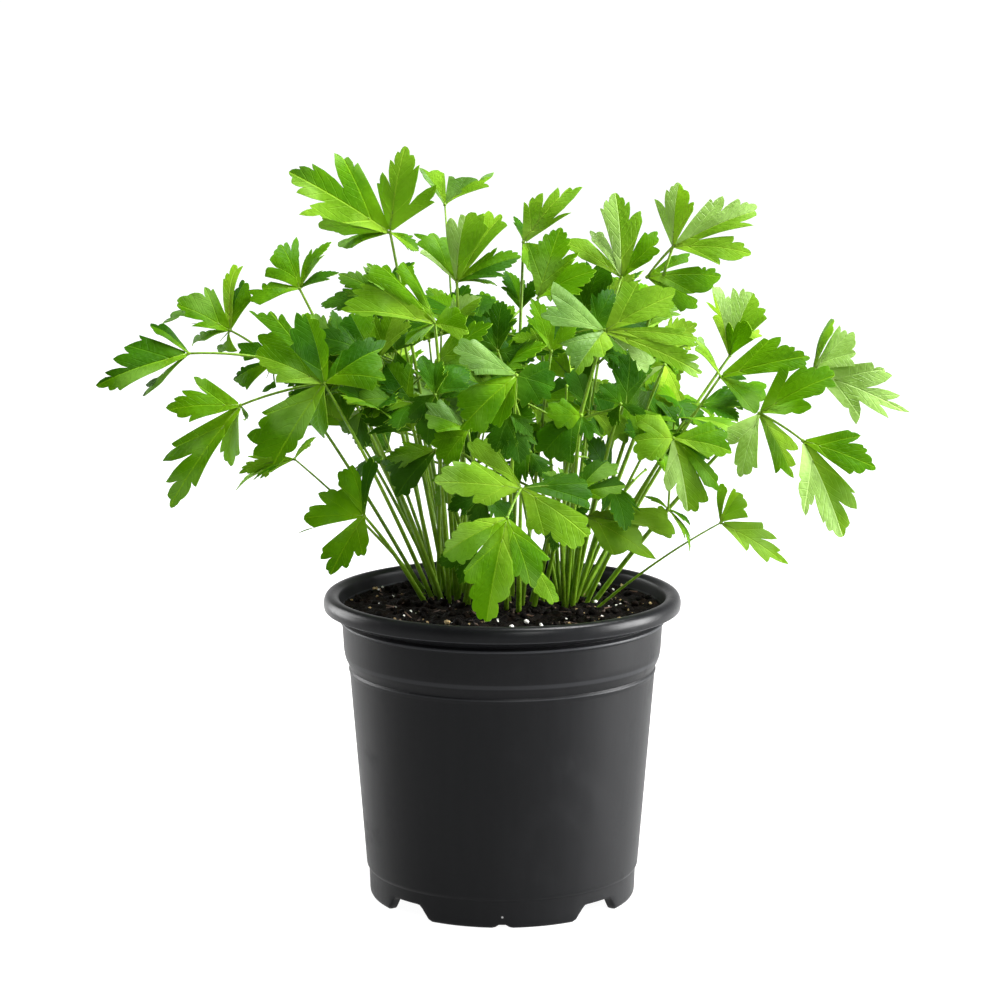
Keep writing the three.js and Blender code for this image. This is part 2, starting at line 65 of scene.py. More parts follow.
# A leaflet is [x, z, depth past its knot, tilt in degrees, width as a share of length].
# Tilt turns its upper face from the front up to the sky, and past 90 shows its underside.
# A knot is [[x, z, depth], leaflets], and a leafy stem is
# [name, [x, y] of its foot in the soil, knots]. The first knot ends the stem itself.
LEAFY_STEMS = [
    ["far_left", [-29.5, 24], [
        [[-98, 236, 8], [[-116, 228, 4, 30, 0.85], [-114, 241, 2, 25, 0.7],
          [-103.5, 222.5, 4, 30, 0.4]]],
        [[-135, 239, 2], [[-175, 226, -6, 20, 0.72], [-151, 252, 4, 40, 0.5],
          [-155, 221, 6, 40, 0.45]]],
        [[-117, 249, 18], [[-141, 261, -3, 20, 0.85], [-111, 270, 6, 40, 0.6],
          [-134, 244, 8, 50, 0.4], [-115, 277, 10, 30, 0.7], [-146, 252, 12, 40, 0.3],
          [-123.5, 240.5, 8, 40, 0.5]]],
    ]],
    ["left_fan", [-28, 20], [
        [[-77, 226, -42], [[-100, 257, 4, 20, 0.7], [-106, 239, -6, 15, 0.55],
          [-99, 191, -8, 15, 0.85], [-79, 202, 10, 50, 0.7], [-52, 242, 6, 25, 0.8],
          [-84, 256, -8, 20, 0.75]]],
        [[-113, 216.5, -34], [[-145, 215, -4, 20, 0.75], [-144, 172, -8, 25, 0.62],
          [-118, 190, 6, 50, 0.6], [-110.5, 209.3, 6, 30, 0.4]]],
    ]],
    ["upper_left", [-25.5, 29], [
        [[-87, 267, 22], [[-95, 287, 4, 30, 0.8], [-109, 266, -4, 30, 0.6], [-70, 274, 4, 60, 0.5],
          [-74, 288, 8, 50, 0.4]]],
    ]],
    ["top_left", [-20, 22.5], [
        [[-48, 291, -8], [[-91, 317, -8, 15, 0.68], [-79, 294, 6, 155, 0.5],
          [-41.5, 328, 2, 15, 0.75], [-36, 283, 6, 40, 0.5], [-70, 286, 12, 50, 0.35]]],
    ]],
    ["far_top", [-14.5, 32], [
        [[-24.5, 303, 58], [[-34, 318, 2, 30, 0.7], [-4, 316, 4, 45, 0.45]]],
    ]],
    ["mid_left", [-19.5, 14.5], [
        [[-29, 252, -44], [[-69, 258, -6, 30, 0.55], [-53, 278, 0, 20, 0.55],
          [-42, 279, 4, 20, 0.5], [-15, 249, -8, 15, 0.75], [-42, 243, -4, 55, 0.7]]],
    ]],
    ["centre_top", [-15.5, 19.5], [
        [[-19.5, 270, -16], [[-39, 288, 2, 30, 0.55], [-16, 299, 0, 20, 0.7],
          [-1, 298, 6, 20, 0.5], [8, 281, 4, 30, 0.5], [-2, 269, 4, 70, 0.4]]],
    ]],
    ["top_middle", [4, 10.5], [
        [[9, 287, 10], [[27, 309, 2, 20, 0.85], [21, 264, -4, 20, 0.75], [5, 298, 8, 50, 0.4]]],
    ]],
    ["right_top", [11, 11.5], [
        [[51, 272, 2], [[48.5, 308, 2, 15, 0.7], [67, 288, 2, 20, 0.8], [23, 289, 6, 30, 0.45],
          [38, 292, 0, 30, 0.4]]],
    ]],
    ["right_crown", [27, 15.5], [
        [[73, 285, -24], [[75, 312, 2, 15, 0.65], [109, 301, 0, 20, 0.5],
          [106, 283, -6, 25, 0.5]]],
        [[62, 272, -20], [[93, 273, -2, 20, 0.6], [84, 261, 0, 25, 0.55], [80, 281, 4, 25, 0.6]]],
    ]],
    ["centre_right", [12, 0], [
        [[44, 249, -62], [[17, 256, -4, 25, 0.5], [31, 231, -10, 10, 0.85], [73, 264, 4, 20, 0.65],
          [83, 246, -2, 20, 0.4], [86, 231, -6, 15, 0.6], [61, 231, 0, 20, 0.6]]],
    ]],
    ["right_pale", [32, 19.5], [
        [[98, 238, 40], [[90, 268, 4, 20, 0.5], [107, 265, 4, 20, 0.8], [104, 253, -6, 30, 0.6],
          [111, 248, 2, 30, 0.5]]],
    ]],
    ["far_right", [39.5, 12.5], [
        [[111, 213, -16], [[143, 230, -2, 20, 0.62], [133, 216, -8, 30, 0.4],
          [104, 186, -8, 25, 0.6], [126, 186, -6, 20, 0.6]]],
        [[130, 201, -24], [[162, 189, -6, 20, 0.6], [148, 159, -8, 20, 0.6]]],
        [[134, 231, 8], [[176, 213, -6, 20, 0.6], [150, 248, 4, 25, 0.6], [141, 254, 6, 45, 0.3]]],
    ]],
    ["right_middle", [35.5, 16], [
        [[94, 229, 10], [[133, 238, -2, 20, 0.6], [109, 213, -6, 30, 0.6], [107, 230, 8, 30, 0.5],
          [84, 246, 4, 50, 0.35]]],
    ]],
    ["right_low", [37.5, 8.5], [
        [[74, 202, -38], [[57, 201, -2, 25, 0.95], [99, 197, -4, 25, 0.6], [94, 181, -6, 25, 0.5],
          [81, 170, -8, 15, 0.75]]],
        [[72, 171, -28], [[82, 164, 0, 60, 0.35], [62, 177, 4, 60, 0.4], [83, 153, -2, 70, 0.35]]],
    ]],
    ["right_trailing", [36.5, 3.5], [
        [[95, 165, -22], [[104, 180, 2, 25, 0.75], [124, 147, -4, 20, 0.6],
          [95, 181, 2, 40, 0.35]]],
    ]],
    ["right_inner", [31, 2.5], [
        [[36, 168, -24], [[65, 150, -6, 20, 0.6], [75, 160, -4, 30, 0.5]]],
    ]],
    ["front", [7, -4], [
        [[8, 180, -66], [[-29, 183, -8, 15, 0.6], [-8, 203, 6, 20, 0.55], [37, 160, -8, 15, 0.75],
          [53, 181, 8, 30, 0.45]]],
        [[2, 167, -78], [[-25, 152, -6, 15, 0.75], [-7, 121, -12, 10, 0.6],
          [13, 137, -8, 15, 0.65]]],
        [[14, 146, -66], [[23, 129, -4, 20, 0.9]]],
    ]],
    ["front_centre", [1.5, 0.5], [
        [[6, 229.5, -72], [[-20, 241, 0, 25, 0.45], [-17, 208, -8, 15, 0.8],
          [-2, 207, -4, 15, 0.55], [25, 223, 2, 20, 0.85]]],
    ]],
    ["left_low", [-30.5, 15.5], [
        [[-60, 168, -26], [[-86, 167, -4, 20, 0.75], [-66, 190, 4, 25, 0.65],
          [-75, 142, -6, 15, 0.85], [-56, 194, -4, 30, 0.4]]],
    ]],
    ["far_low_left", [-27, 33], [
        [[-90, 193, 62], [[-114, 187, 2, 150, 0.5], [-116, 180, 4, 70, 0.3],
          [-108, 184, -2, 70, 0.3], [-81, 203, 2, 60, 0.4]]],
    ]],
    ["centre_right_low", [15.5, 5], [
        [[37, 214, -21], [[31, 232, 4, 25, 0.8], [20, 212, -2, 20, 0.7], [57, 206, 0, 25, 0.7],
          [17, 195, -4, 20, 0.8]]],
    ]],
    ["right_hollow", [29.5, 10.5], [
        [[70, 234, -8], [[77, 219, -4, 20, 0.9], [52, 228, 4, 30, 0.7], [54, 220, 8, 25, 0.6]]],
    ]],
    ["low_left", [-6.5, 8], [
        [[-29, 197, -14], [[-46, 177, -4, 25, 0.95], [-50, 193, 2, 30, 0.6]]],
    ]],
    ["low_centre", [-3, 3.5], [
        [[-15, 206, -46], [[-33, 213, 0, 20, 0.7], [-26, 191, -4, 20, 0.85],
          [-16, 222, 4, 30, 0.6]]],
    ]],
    ["left_shade", [-15.5, 27.5], [
        [[-29, 221, 6], [[-52, 236, 2, 25, 0.6], [-34, 238, 8, 25, 0.6], [-26, 236, 4, 25, 0.6]]],
    ]],
    ["left_inner", [-24, 17.5], [
        [[-60, 214, -14], [[-41, 215, -4, 20, 0.7], [-70, 207, 0, 30, 0.7],
          [-62, 197, 2, 40, 0.7]]],
    ]],
    ["shade_top", [-11, 24], [
        [[-22, 248, 24], [[-31, 268, 2, 25, 0.7], [-15, 269, 2, 25, 0.7], [-44, 250, 4, 25, 0.7]]],
    ]],
    ["shade_centre", [0.5, 14.5], [
        [[-4, 244, 20], [[-9, 266, 4, 20, 0.8], [5, 260, 6, 25, 0.6], [12, 244, 2, 25, 0.7]]],
        [[8, 258, 34], [[2, 275, 2, 25, 0.6], [14, 271, 2, 25, 0.6]]],
    ]],
    ["shade_right", [24, 11.5], [
        [[34, 254, 22], [[43, 278, 2, 20, 0.75], [28, 275, 4, 25, 0.6], [49, 262, 4, 30, 0.6]]],
    ]],
    ["left_hollow", [-24.5, 21.5], [
        [[-71, 238, 18], [[-72, 258, 2, 30, 0.5], [-62, 254, 4, 30, 0.5],
          [-86, 256, -2, 25, 0.7]]],
    ]],
    ["shade_left", [-20.5, 26.5], [
        [[-46, 262, 12], [[-70, 274, 2, 20, 0.55], [-58, 278, 4, 25, 0.6],
          [-78, 261, 6, 40, 0.4]]],
    ]],
    ["centre_strip", [8, 6.5], [
        [[21, 240, -22], [[13, 263, 2, 20, 0.55], [4, 247, 6, 30, 0.6], [32, 252, 4, 30, 0.6]]],
    ]],
    ["low_right", [26.5, 5], [
        [[32, 178, -42], [[46, 193, 4, 25, 0.8], [17, 187, 2, 25, 0.7], [53, 181.5, 0, 20, 0.6]]],
    ]],
    ["back_left", [-20.5, 31], [
        [[-44, 236, 78], [[-64, 250, 4, 150, 0.8], [-36, 262, 6, 150, 0.8],
          [-56, 220, 8, 160, 0.8]]],
    ]],
    ["back_far_left", [-24, 36], [
        [[-72, 228, 66], [[-96, 240, 6, 150, 0.8], [-66, 250, 8, 150, 0.8],
          [-84, 214, 8, 160, 0.8]]],
    ]],
    ["back_middle", [2, 20.5], [
        [[-6, 222, 84], [[-24, 238, 6, 150, 0.8], [8, 246, 4, 150, 0.8], [-12, 202, 8, 160, 0.8]]],
    ]],
    ["back_right", [24, 21], [
        [[30, 228, 82], [[14, 244, 6, 150, 0.8], [42, 254, 4, 150, 0.8], [46, 216, 8, 160, 0.8]]],
    ]],
    ["back_far_right", [34, 24], [
        [[66, 240, 64], [[56, 262, 6, 150, 0.8], [84, 252, 6, 150, 0.8], [76, 226, 8, 160, 0.8]]],
    ]],
]

# These stand inside the plant where the photo shows only deep shade. They have no node.
# Their leaflets all take the deep tint: dark leaves put in as painted shade.
SHADE_STEMS = [
    ["front_left", [-18, 8], [
        [[3, 213, -62], [[-3, 196, -4, 15, 0.9], [7.5, 191, -4, 15, 0.8], [13, 203, -2, 20, 0.7],
          [-12, 209, 2, 20, 0.8]]],
    ]],
    ["front_right", [25, 4], [
        [[34, 212, -54], [[17, 195, -4, 20, 0.8], [20, 212, -2, 20, 0.7], [38, 201, 0, 20, 0.7]]],
    ]],
    ["left", [-23, 13], [
        [[-29, 221, -42], [[-35, 238, 4, 25, 0.6], [-26, 236, 4, 25, 0.6], [-41, 211, 0, 20, 0.8],
          [-33, 199, 0, 20, 0.8], [-14, 232, 6, 20, 0.7]]],
    ]],
    ["right", [29, 7], [
        [[51, 217, -34], [[42, 226, 2, 25, 0.9], [62, 212.5, -2, 20, 0.45],
          [47, 207, 2, 20, 0.6]]],
    ]],
    ["middle", [3, 9], [
        [[-2, 240, -22], [[-14, 256, 4, 20, 0.8], [0, 262, 6, 20, 0.7], [14, 236, 0, 20, 0.8],
          [-12, 230, -4, 20, 0.8]]],
        [[12, 196, -32], [[2, 182, -4, 20, 0.8], [20, 184, -4, 20, 0.8], [-4, 200, 0, 20, 0.8]]],
    ]],
    ["low_left", [-16, 10], [
        [[-8, 177, -36], [[-24, 171, -2, 20, 0.7], [-11, 161, -4, 20, 0.7],
          [4, 165, -4, 20, 0.7]]],
        [[-13, 152, -24], [[-28, 147, -2, 20, 0.8], [-19, 138, -4, 20, 0.8],
          [-6, 146, -2, 20, 0.7]]],
    ]],
    ["low_right", [27, 5], [
        [[25, 166, -34], [[34, 154, -2, 20, 0.7], [22, 152, -4, 20, 0.7], [38, 171, 0, 20, 0.6]]],
    ]],
    ["far_side", [-23, 22], [
        [[-46, 240, -10], [[-48, 254, 4, 25, 0.8], [-38, 248, 4, 25, 0.8], [-60, 244, 0, 25, 0.8],
          [-44, 226, 4, 20, 0.8]]],
    ]],
    ["near_side", [28, 15], [
        [[40, 240, -4], [[30, 258, 4, 25, 0.8], [48, 256, 4, 25, 0.8], [56, 236, 0, 25, 0.8],
          [32, 226, 4, 20, 0.7]]],
    ]],
]

THIN_STEMS = {"right_trailing": 0.5, "far_low_left": 0.6, "far_left": 0.75, "far_top": 0.7,
              "upper_left": 0.8}


def seen(x, z, depth):
    """The point at a depth behind the mid plane that looks, from the front, to be at x, z."""
    y = DEPTH_SPREAD * depth * MM
    return (Vector((x, 0, z)) * MM).lerp(EYE, y / EYE.y)


def bowed(start, end, steps):
    """Points along a line between two points that is bowed up a little, as a stem is."""
    rise = Vector((0, 0, STEM_BOW * (end - start).length))
    third = start.lerp(end, 1 / 3) + rise
    two_thirds = start.lerp(end, 2 / 3) + rise
    return interpolate_bezier(start, third, two_thirds, end, steps + 1)


leaflet_keys = {(name, leaflet[0], leaflet[1]) for name, foot, knots in LEAFY_STEMS
                for knot, leaflets in knots for leaflet in leaflets}
leaflet_count = sum(len(leaflets) for stem in LEAFY_STEMS for knot, leaflets in stem[2])
print(len(LEAFY_STEMS), "leafy stems with", leaflet_count, "leaflets")

# %% [markdown]
# Leaflets that stand out from the front have outlines of their own. Each is a ring of tooth
# tips and notches in turn, as they look from the front, in millimetres on the mid plane. It
# starts and ends with a tooth, and two letters give the tints of the sides where it starts
# and ends: the tints paint the light and shade that fall differently on the two halves of a
# folded leaflet.

# %% Own outlines
# By stem, and then by the x and z of the leaflet's tip in the list above.
# Tints: m mid green, d deep green as painted shade, f fresh and y young, lighter greens that
# are partly painted light, p pale and g greyish green as painted sheen.
OWN_SHAPES = {
    "far_left": {
        (-116, 228): [
            "dm", (-109.5, 234), (-111, 233), (-112.6, 233), (-112.6, 231.5), (-114.6, 230.3),
            (-114.3, 229.3), (-116, 227.8), (-113.8, 226.2), (-112.6, 224.8), (-110.8, 224.7),
            (-110.2, 223.1)],
        (-114, 241): [
            "dd", (-105, 244), (-108, 243.4), (-114, 243.3), (-112.5, 240.5), (-113.6, 238.5),
            (-111.5, 237.6), (-111, 235.8), (-106, 237.3), (-103, 236.5)],
        (-103.5, 222.5): [
            "dd", (-98.5, 227), (-100, 225.8), (-103.6, 222.4), (-99.5, 223.8), (-97.5, 224.5)],
        (-175, 226): [
            "dm", (-156.2, 247), (-155, 244.8), (-162.9, 241.7), (-160.6, 239.1), (-167.8, 236.6),
            (-161.2, 232.8), (-171.4, 230.8), (-168.6, 229.2), (-175.4, 225.2), (-170, 224.6),
            (-169.4, 222.9), (-166, 224.3), (-164.9, 222.9)],
        (-151, 252): [
            "dm", (-145.7, 252), (-148, 251), (-151.2, 252), (-150.2, 249.5), (-148.8, 247.5)],
        (-155, 221): [
            "dm", (-146, 230.2), (-148.5, 228.6), (-153.8, 225.4), (-152, 224.5), (-155.3, 220.4),
            (-150.8, 223.2), (-146.5, 226.8)],
        (-141, 261): [
            "mm", (-124, 267), (-125, 266), (-127.8, 267.7), (-127.4, 263.2), (-132, 265.3),
            (-135.1, 264), (-139.6, 262.2), (-139, 261), (-139.8, 259.7), (-136, 257.3),
            (-136.4, 254.9), (-123.7, 253.1), (-133.8, 250.8)],
        (-111, 270): [
            "dm", (-117.5, 262), (-116, 263.5), (-114, 267), (-113, 267.5), (-111.6, 270.8),
            (-110.6, 269.3), (-109, 269.4), (-108.6, 266), (-107.6, 262)],
        (-134, 244): [
            "mm", (-126, 249), (-127.5, 248.3), (-130, 248.2), (-129.5, 246.8), (-134.5, 244),
            (-130, 244.5), (-127, 245)],
        (-115, 277): [
            "yy", (-119.6, 271.2), (-118.8, 271.2), (-117.9, 273.8), (-117, 273), (-115.3, 277.4),
            (-113.5, 275.5), (-111, 276.8)],
        (-146, 252): [
            "gg", (-138, 257.8), (-140, 257.4), (-142.5, 255.8), (-142.3, 254.6), (-146, 252),
            (-141.5, 253.4), (-138.5, 255.4)],
        (-123.5, 240.5): [
            "gm", (-118.5, 244.5), (-120, 243), (-122.8, 241.8), (-122, 240.8), (-123.6, 240.2),
            (-119, 240.2), (-114, 240)],
    },
    "left_fan": {
        (-100, 257): [
            "mm", (-109, 257.5), (-105.3, 255.8), (-103.3, 256.8), (-101.2, 255.5), (-99.5, 257.4),
            (-96.4, 253.3), (-95, 256.2), (-94, 255.3), (-93, 253.5)],
        (-106, 239): [
            "mf", (-99, 248.5), (-101, 247.5), (-105.3, 246.8), (-103.3, 242.5), (-106, 239),
            (-104.5, 236), (-104.6, 234.3), (-101.5, 233), (-101, 231), (-97, 230),
            (-97.5, 226.3)],
        (-99, 191): [
            "mm", (-104.1, 213.4), (-101.4, 212), (-105.6, 208.9), (-104.5, 206.5),
            (-110.6, 203.3), (-105.9, 199.2), (-108, 195), (-99.7, 194), (-98.6, 190),
            (-93.5, 195.6), (-90.5, 196.6), (-88.5, 201), (-86.2, 202.5)],
        (-79, 202): ["mm", (-83.5, 207), (-82.3, 205), (-79, 202.2), (-77, 203.8), (-75.3, 207)],
        (-52, 242): [
            "dm", (-69, 240), (-66.5, 240.5), (-62.5, 244.7), (-60, 244.2), (-56.5, 246),
            (-55, 244), (-50, 244.5), (-54, 239), (-51.5, 234), (-53.5, 232), (-50.2, 227.5),
            (-54, 227.5), (-56, 222.8)],
        (-84, 256): [
            "dm", (-91.5, 242), (-89.8, 243.5), (-91.5, 249.5), (-89.4, 250), (-88.5, 256.8),
            (-86, 254.5), (-83.5, 256.8), (-82.5, 254), (-79, 253.5), (-79, 250.5), (-76, 248),
            (-76.8, 245), (-74.8, 241)],
        (-145, 215): [
            "mm", (-128.1, 228.3), (-129.6, 227.8), (-133.2, 228.9), (-127.2, 221),
            (-138.4, 222.9), (-135.9, 220.3), (-141.8, 219.4), (-141, 218.3), (-145.4, 215.4),
            (-140.6, 212.9), (-140.3, 211.3), (-134.4, 212.2), (-135.5, 209)],
        (-144, 172): [
            "mm", (-143.2, 199.8), (-141.1, 198.2), (-147.2, 192.1), (-133.9, 195.5),
            (-146, 182.8), (-140.8, 183.6), (-145.4, 177.2), (-144, 175.3), (-144, 171.4),
            (-139.7, 175), (-137.4, 176.7), (-134.8, 183), (-132.9, 180.7)],
        (-118, 190): [
            "ff", (-122.2, 195.8), (-120.2, 197.4), (-120.4, 192.6), (-119, 192), (-117.6, 189.8),
            (-115.5, 194.5), (-113.5, 195.8)],
        (-110.5, 209.3): [
            "gg", (-112.2, 213.4), (-111.7, 212), (-110.6, 209.2), (-109.9, 211), (-110, 213)],
    },
    "upper_left": {
        (-95, 287): [
            "mm", (-101.8, 272.2), (-101.5, 273.8), (-100.5, 276.2), (-95, 275), (-99.7, 279.5),
            (-97.8, 281.8), (-97.3, 283.5), (-96.3, 284.2), (-94.8, 286), (-93.4, 285),
            (-92.1, 287), (-90.5, 282.8), (-88, 289.3), (-87.3, 284), (-87.2, 280)],
        (-109, 266): [
            "mm", (-99.3, 270), (-101, 268.5), (-102.8, 269.4), (-102.8, 266.5), (-109, 266.3),
            (-106.8, 264.2), (-108.3, 262.2), (-106.5, 261.2), (-104, 260)],
    },
    "top_left": {
        (-91, 317): [
            "mf", (-61.6, 320.9), (-63.7, 316.8), (-65.7, 323.4), (-67.4, 322.2), (-71.6, 324.9),
            (-67.6, 309.8), (-81, 320.5), (-80.3, 317.4), (-86.6, 319.3), (-86, 318), (-91, 317),
            (-89.5, 314.5), (-89.9, 312.1), (-84.8, 310.5), (-88, 308.1), (-69.6, 303.6),
            (-82.3, 302.7), (-81.2, 301.4), (-87, 298.7), (-78, 298.5), (-76.5, 297.3)],
        (-79, 294): [
            "ff", (-70, 300), (-72, 298.6), (-77, 297.4), (-76.5, 296.4), (-78.6, 294),
            (-75.5, 292.2), (-72, 291.6), (-70, 291), (-67.5, 289.8)],
        (-41.5, 328): [
            "ff", (-53.6, 312), (-52.2, 312), (-51.1, 316.9), (-47.2, 309), (-47.8, 322.2),
            (-45.8, 319.6), (-44.6, 325.6), (-43.6, 325), (-41.4, 328), (-39.4, 324), (-37.7, 324),
            (-38, 317.6), (-35.2, 320), (-39.8, 302.8), (-28, 311.5), (-31, 304.8), (-28.8, 304)],
        (-70, 286): [
            "mm", (-63, 289.8), (-66, 288.5), (-70.3, 286.8), (-68.5, 284.8), (-64.5, 284.5)],
    },
    "far_top": {
        (-34, 318): [
            "gf", (-33, 313.8), (-34, 316), (-35.2, 318.7), (-31.2, 316.8), (-28, 317.7),
            (-26.5, 317), (-24.7, 316.2)],
        (-4, 316): [
            "gf", (-22.8, 315), (-20, 313.9), (-13, 314.5), (-10, 313), (-3.5, 316.7), (-8, 312),
            (-5.5, 310.6)],
    },
    "mid_left": {
        (-69, 258): [
            "ff", (-50, 266.8), (-51.5, 266), (-61, 269.2), (-59.5, 266.5), (-64.5, 266.2),
            (-61.5, 263.8), (-68, 260.8), (-66, 259.5), (-69.4, 258), (-62, 256), (-60, 255),
            (-55, 256), (-50, 255)],
        (-53, 278): [
            "mm", (-60, 272.5), (-57.5, 273), (-54, 277.4), (-52, 275.8), (-49.5, 277.4),
            (-47.5, 274), (-45.5, 271.5)],
        (-42, 279): [
            "mm", (-46, 274.5), (-44.8, 275), (-42.5, 278.6), (-40.8, 276.5), (-38.5, 276),
            (-37.8, 273.5), (-36.6, 271.5)],
        (-15, 249): [
            "mf", (-24, 259.2), (-22.5, 258.3), (-19.5, 259), (-18, 256.5), (-15.6, 254.5),
            (-16.2, 251.5), (-14.6, 247.5), (-17, 247.2), (-18.5, 244.6)],
    },
    "centre_top": {
        (-39, 288): [
            "mp", (-23.8, 289), (-27, 288.5), (-29.5, 290.9), (-32, 289.6), (-38, 290.6),
            (-34.5, 288), (-36.5, 286.2), (-33.5, 284), (-35.3, 282.3)],
        (-16, 299): [
            "pf", (-24, 294.5), (-23.3, 296), (-21.8, 297.4), (-19, 292.8), (-17.9, 298.8),
            (-15.8, 298), (-12.2, 299.7), (-10.8, 298.2), (-8.2, 299), (-8, 295), (-6, 293)],
        (-1, 298): [
            "yf", (-8.6, 299.2), (-7.5, 299), (-5.8, 300.4), (-3.5, 297), (-0.8, 299), (-0.5, 296),
            (2.2, 294)],
        (8, 281): ["md"],
    },
    "top_middle": {
        (27, 309): [
            "ff", (9.2, 304.2), (11.4, 301.6), (12.8, 306.2), (13.8, 305.4), (17.4, 308),
            (16, 298.2), (23.8, 310.4), (24.3, 305.7), (28.8, 310.4), (30, 309.2), (34.3, 310.5),
            (21.5, 296.8), (29.6, 299.6)],
        (21, 264): [
            "mm", (8, 279.5), (10, 277.3), (12, 274.3), (15, 271), (17, 267.3), (18.5, 265.6),
            (20.8, 261.3), (21.8, 266), (24.5, 269), (23.3, 271.5), (27, 274), (24.8, 276),
            (25.5, 281), (22, 281.5), (20, 285)],
    },
    "right_top": {
        (48.5, 308): [
            "pf", (41.6, 301.4), (43.3, 300.9), (44.4, 305), (45.3, 303.8), (48.2, 308.1),
            (50.2, 306), (51.6, 306), (52.2, 302.2), (54.2, 304.4), (54, 296.4), (59, 300.4),
            (59.2, 298.5), (59.8, 295.5)],
        (67, 288): [
            "mm", (60.9, 291.2), (62.3, 290.2), (66.3, 291.6), (66, 289.5), (67.1, 288),
            (64.5, 285), (67.6, 283.4), (64.8, 281), (63, 278.7)],
        (23, 289): [
            "ff", (36.5, 288), (34.5, 288.3), (29, 288.4), (27, 288), (22.7, 289.3), (26, 286),
            (28.5, 284), (30.5, 283), (34, 279.8)],
        (38, 292): [
            "pp", (38.3, 287.5), (38.3, 289), (37.5, 291.9), (40, 290.7), (42.8, 291.2),
            (43.5, 289.5), (45.2, 287)],
    },
    "right_crown": {
        (75, 312): [
            "py", (64.8, 305.5), (69.6, 301.4), (69.9, 309.4), (71.3, 308.1), (72.1, 310.8),
            (73.2, 311), (75, 312.5), (77.4, 309.3), (79.5, 308.4), (79.4, 303.2), (81.8, 304.1),
            (81.5, 302.3), (81.5, 300.3)],
        (109, 301): [
            "pf", (88.7, 305.4), (89.8, 303.5), (94.1, 306.7), (93.3, 300), (100.6, 305.6),
            (101.6, 302.8), (104.3, 304.1), (105.2, 303.2), (108.3, 303), (107.7, 300.4),
            (108.6, 298.4), (101.2, 295.4), (107.4, 294.1)],
        (106, 283): [
            "ff", (98.9, 289.6), (98.1, 286.6), (103.4, 286.5), (103.2, 284.8), (106.5, 282.6),
            (103.4, 280.8), (99, 279), (92.6, 280.2), (93, 277.2)],
        (93, 273): [
            "mm", (84, 276.6), (85.5, 275.3), (87, 276.4), (87.2, 274.7), (91.2, 275.8),
            (91.2, 274), (93.8, 272.8), (90.6, 268.9), (88.3, 266), (83, 265.3), (79, 264.8)],
        (84, 261): [
            "mm", (78, 265.2), (79.5, 264.3), (83.8, 262.2), (83.2, 260.5), (83.6, 258.6),
            (79, 258.5), (76.5, 257)],
        (80, 281): ["mm", (72.5, 281), (75, 281.3), (80.2, 282.2), (79.4, 280.5), (79.5, 278.4)],
    },
    "centre_right": {
        (17, 256): [
            "gg", (25, 268), (23.5, 269), (21.6, 269.8), (24.5, 257.3), (19.4, 258.3), (19, 257),
            (16.4, 255.2), (20.5, 253), (21.5, 251)],
        (31, 231): [
            "gf", (24.6, 243.3), (28, 242), (27.3, 238.5), (29.3, 238), (29.6, 233), (31, 234),
            (32.8, 229.6), (35.5, 233.3), (38, 233.8), (38.9, 238), (43, 237.3), (44.5, 240),
            (47.7, 242.5)],
        (73, 264): [
            "ff", (52, 270.2), (54, 269.3), (58, 270), (58.5, 266.4), (66, 268.5), (69, 267.2),
            (74.2, 266.7), (72.3, 262), (73.7, 259), (71.5, 258), (72.2, 254.8), (66, 255.3),
            (62, 253.3)],
        (83, 246): [
            "ff", (72, 250.2), (74, 249.5), (78.7, 250), (77, 247.5), (83.8, 245.9), (82.5, 244),
            (83.8, 242.2), (76, 243), (71.3, 242.5)],
        (86, 231): [
            "ff", (80, 240.2), (79, 238.8), (84.8, 237.4), (80.5, 235.3), (84.7, 233.8),
            (84, 232.5), (86.2, 231), (83.5, 230.3), (84.6, 228.4), (78.5, 231.3), (75, 232.3)],
        (61, 231): [
            "pp", (52.3, 240.3), (54, 241), (56.3, 235.8), (57.5, 236.5), (58.6, 231.3),
            (60, 232.6), (62, 230.5), (63.2, 234), (66, 236)],
    },
    "right_pale": {
        (90, 268): [
            "yp", (90.3, 254.6), (92.7, 255.8), (87.4, 261.4), (91.8, 258.5), (90, 268.2),
            (91, 267.5), (93.6, 267.5), (95.8, 262.5), (97.3, 263.8), (98, 261), (98.6, 258)],
        (107, 265): [
            "pf", (98.9, 267.6), (101.9, 262.6), (103.3, 267.2), (104, 265.6), (107, 265.4),
            (108.6, 263.5), (110.4, 260.8), (109.6, 258.8), (113.2, 258.1), (112.2, 256),
            (113.8, 254.1)],
        (104, 253): [
            "mm", (95.3, 245.5), (95.9, 248), (97.2, 252.6), (99.6, 248.5), (101.5, 252.8),
            (102.5, 252.3), (104.5, 253.2), (106, 251.6), (107.5, 249), (106.4, 246),
            (108.2, 245)],
        (111, 248): [
            "yy", (107, 249.8), (108.3, 248.8), (110.4, 249.5), (110.3, 247.5), (112, 246.5)],
    },
    "far_right": {
        (143, 230): [
            "mm", (119.6, 232.8), (121, 232.8), (123.4, 233), (121.6, 226), (130.3, 233.8),
            (131.5, 232.2), (133.8, 233.2), (135, 231.8), (140.3, 233.8), (141, 232),
            (143.1, 230.5), (141.6, 228), (143.8, 224.6), (139.5, 224.7), (138.2, 221.8),
            (134.5, 220.7), (130, 219.4)],
        (133, 216): [
            "mm", (129, 219.4), (130.5, 218.6), (133.6, 215.8), (131, 213.8), (128.3, 212.6),
            (125, 213.5), (122, 212.4)],
        (104, 186): [
            "pp", (97.6, 206.8), (97.3, 205), (95.9, 202.5), (97.5, 201), (99.3, 199.4),
            (102.3, 200.8), (100.4, 191), (101.8, 190.2), (102.4, 185.4), (104.5, 186.3),
            (107.5, 186.7), (108.4, 189.6), (110.6, 189.2)],
        (126, 186): [
            "ym", (125, 202.2), (126, 200.8), (128.2, 197.2), (122.6, 197.4), (127.2, 190.6),
            (124.3, 189.6), (126.4, 184.6), (120.6, 189), (118.3, 186.6)],
        (162, 189): [
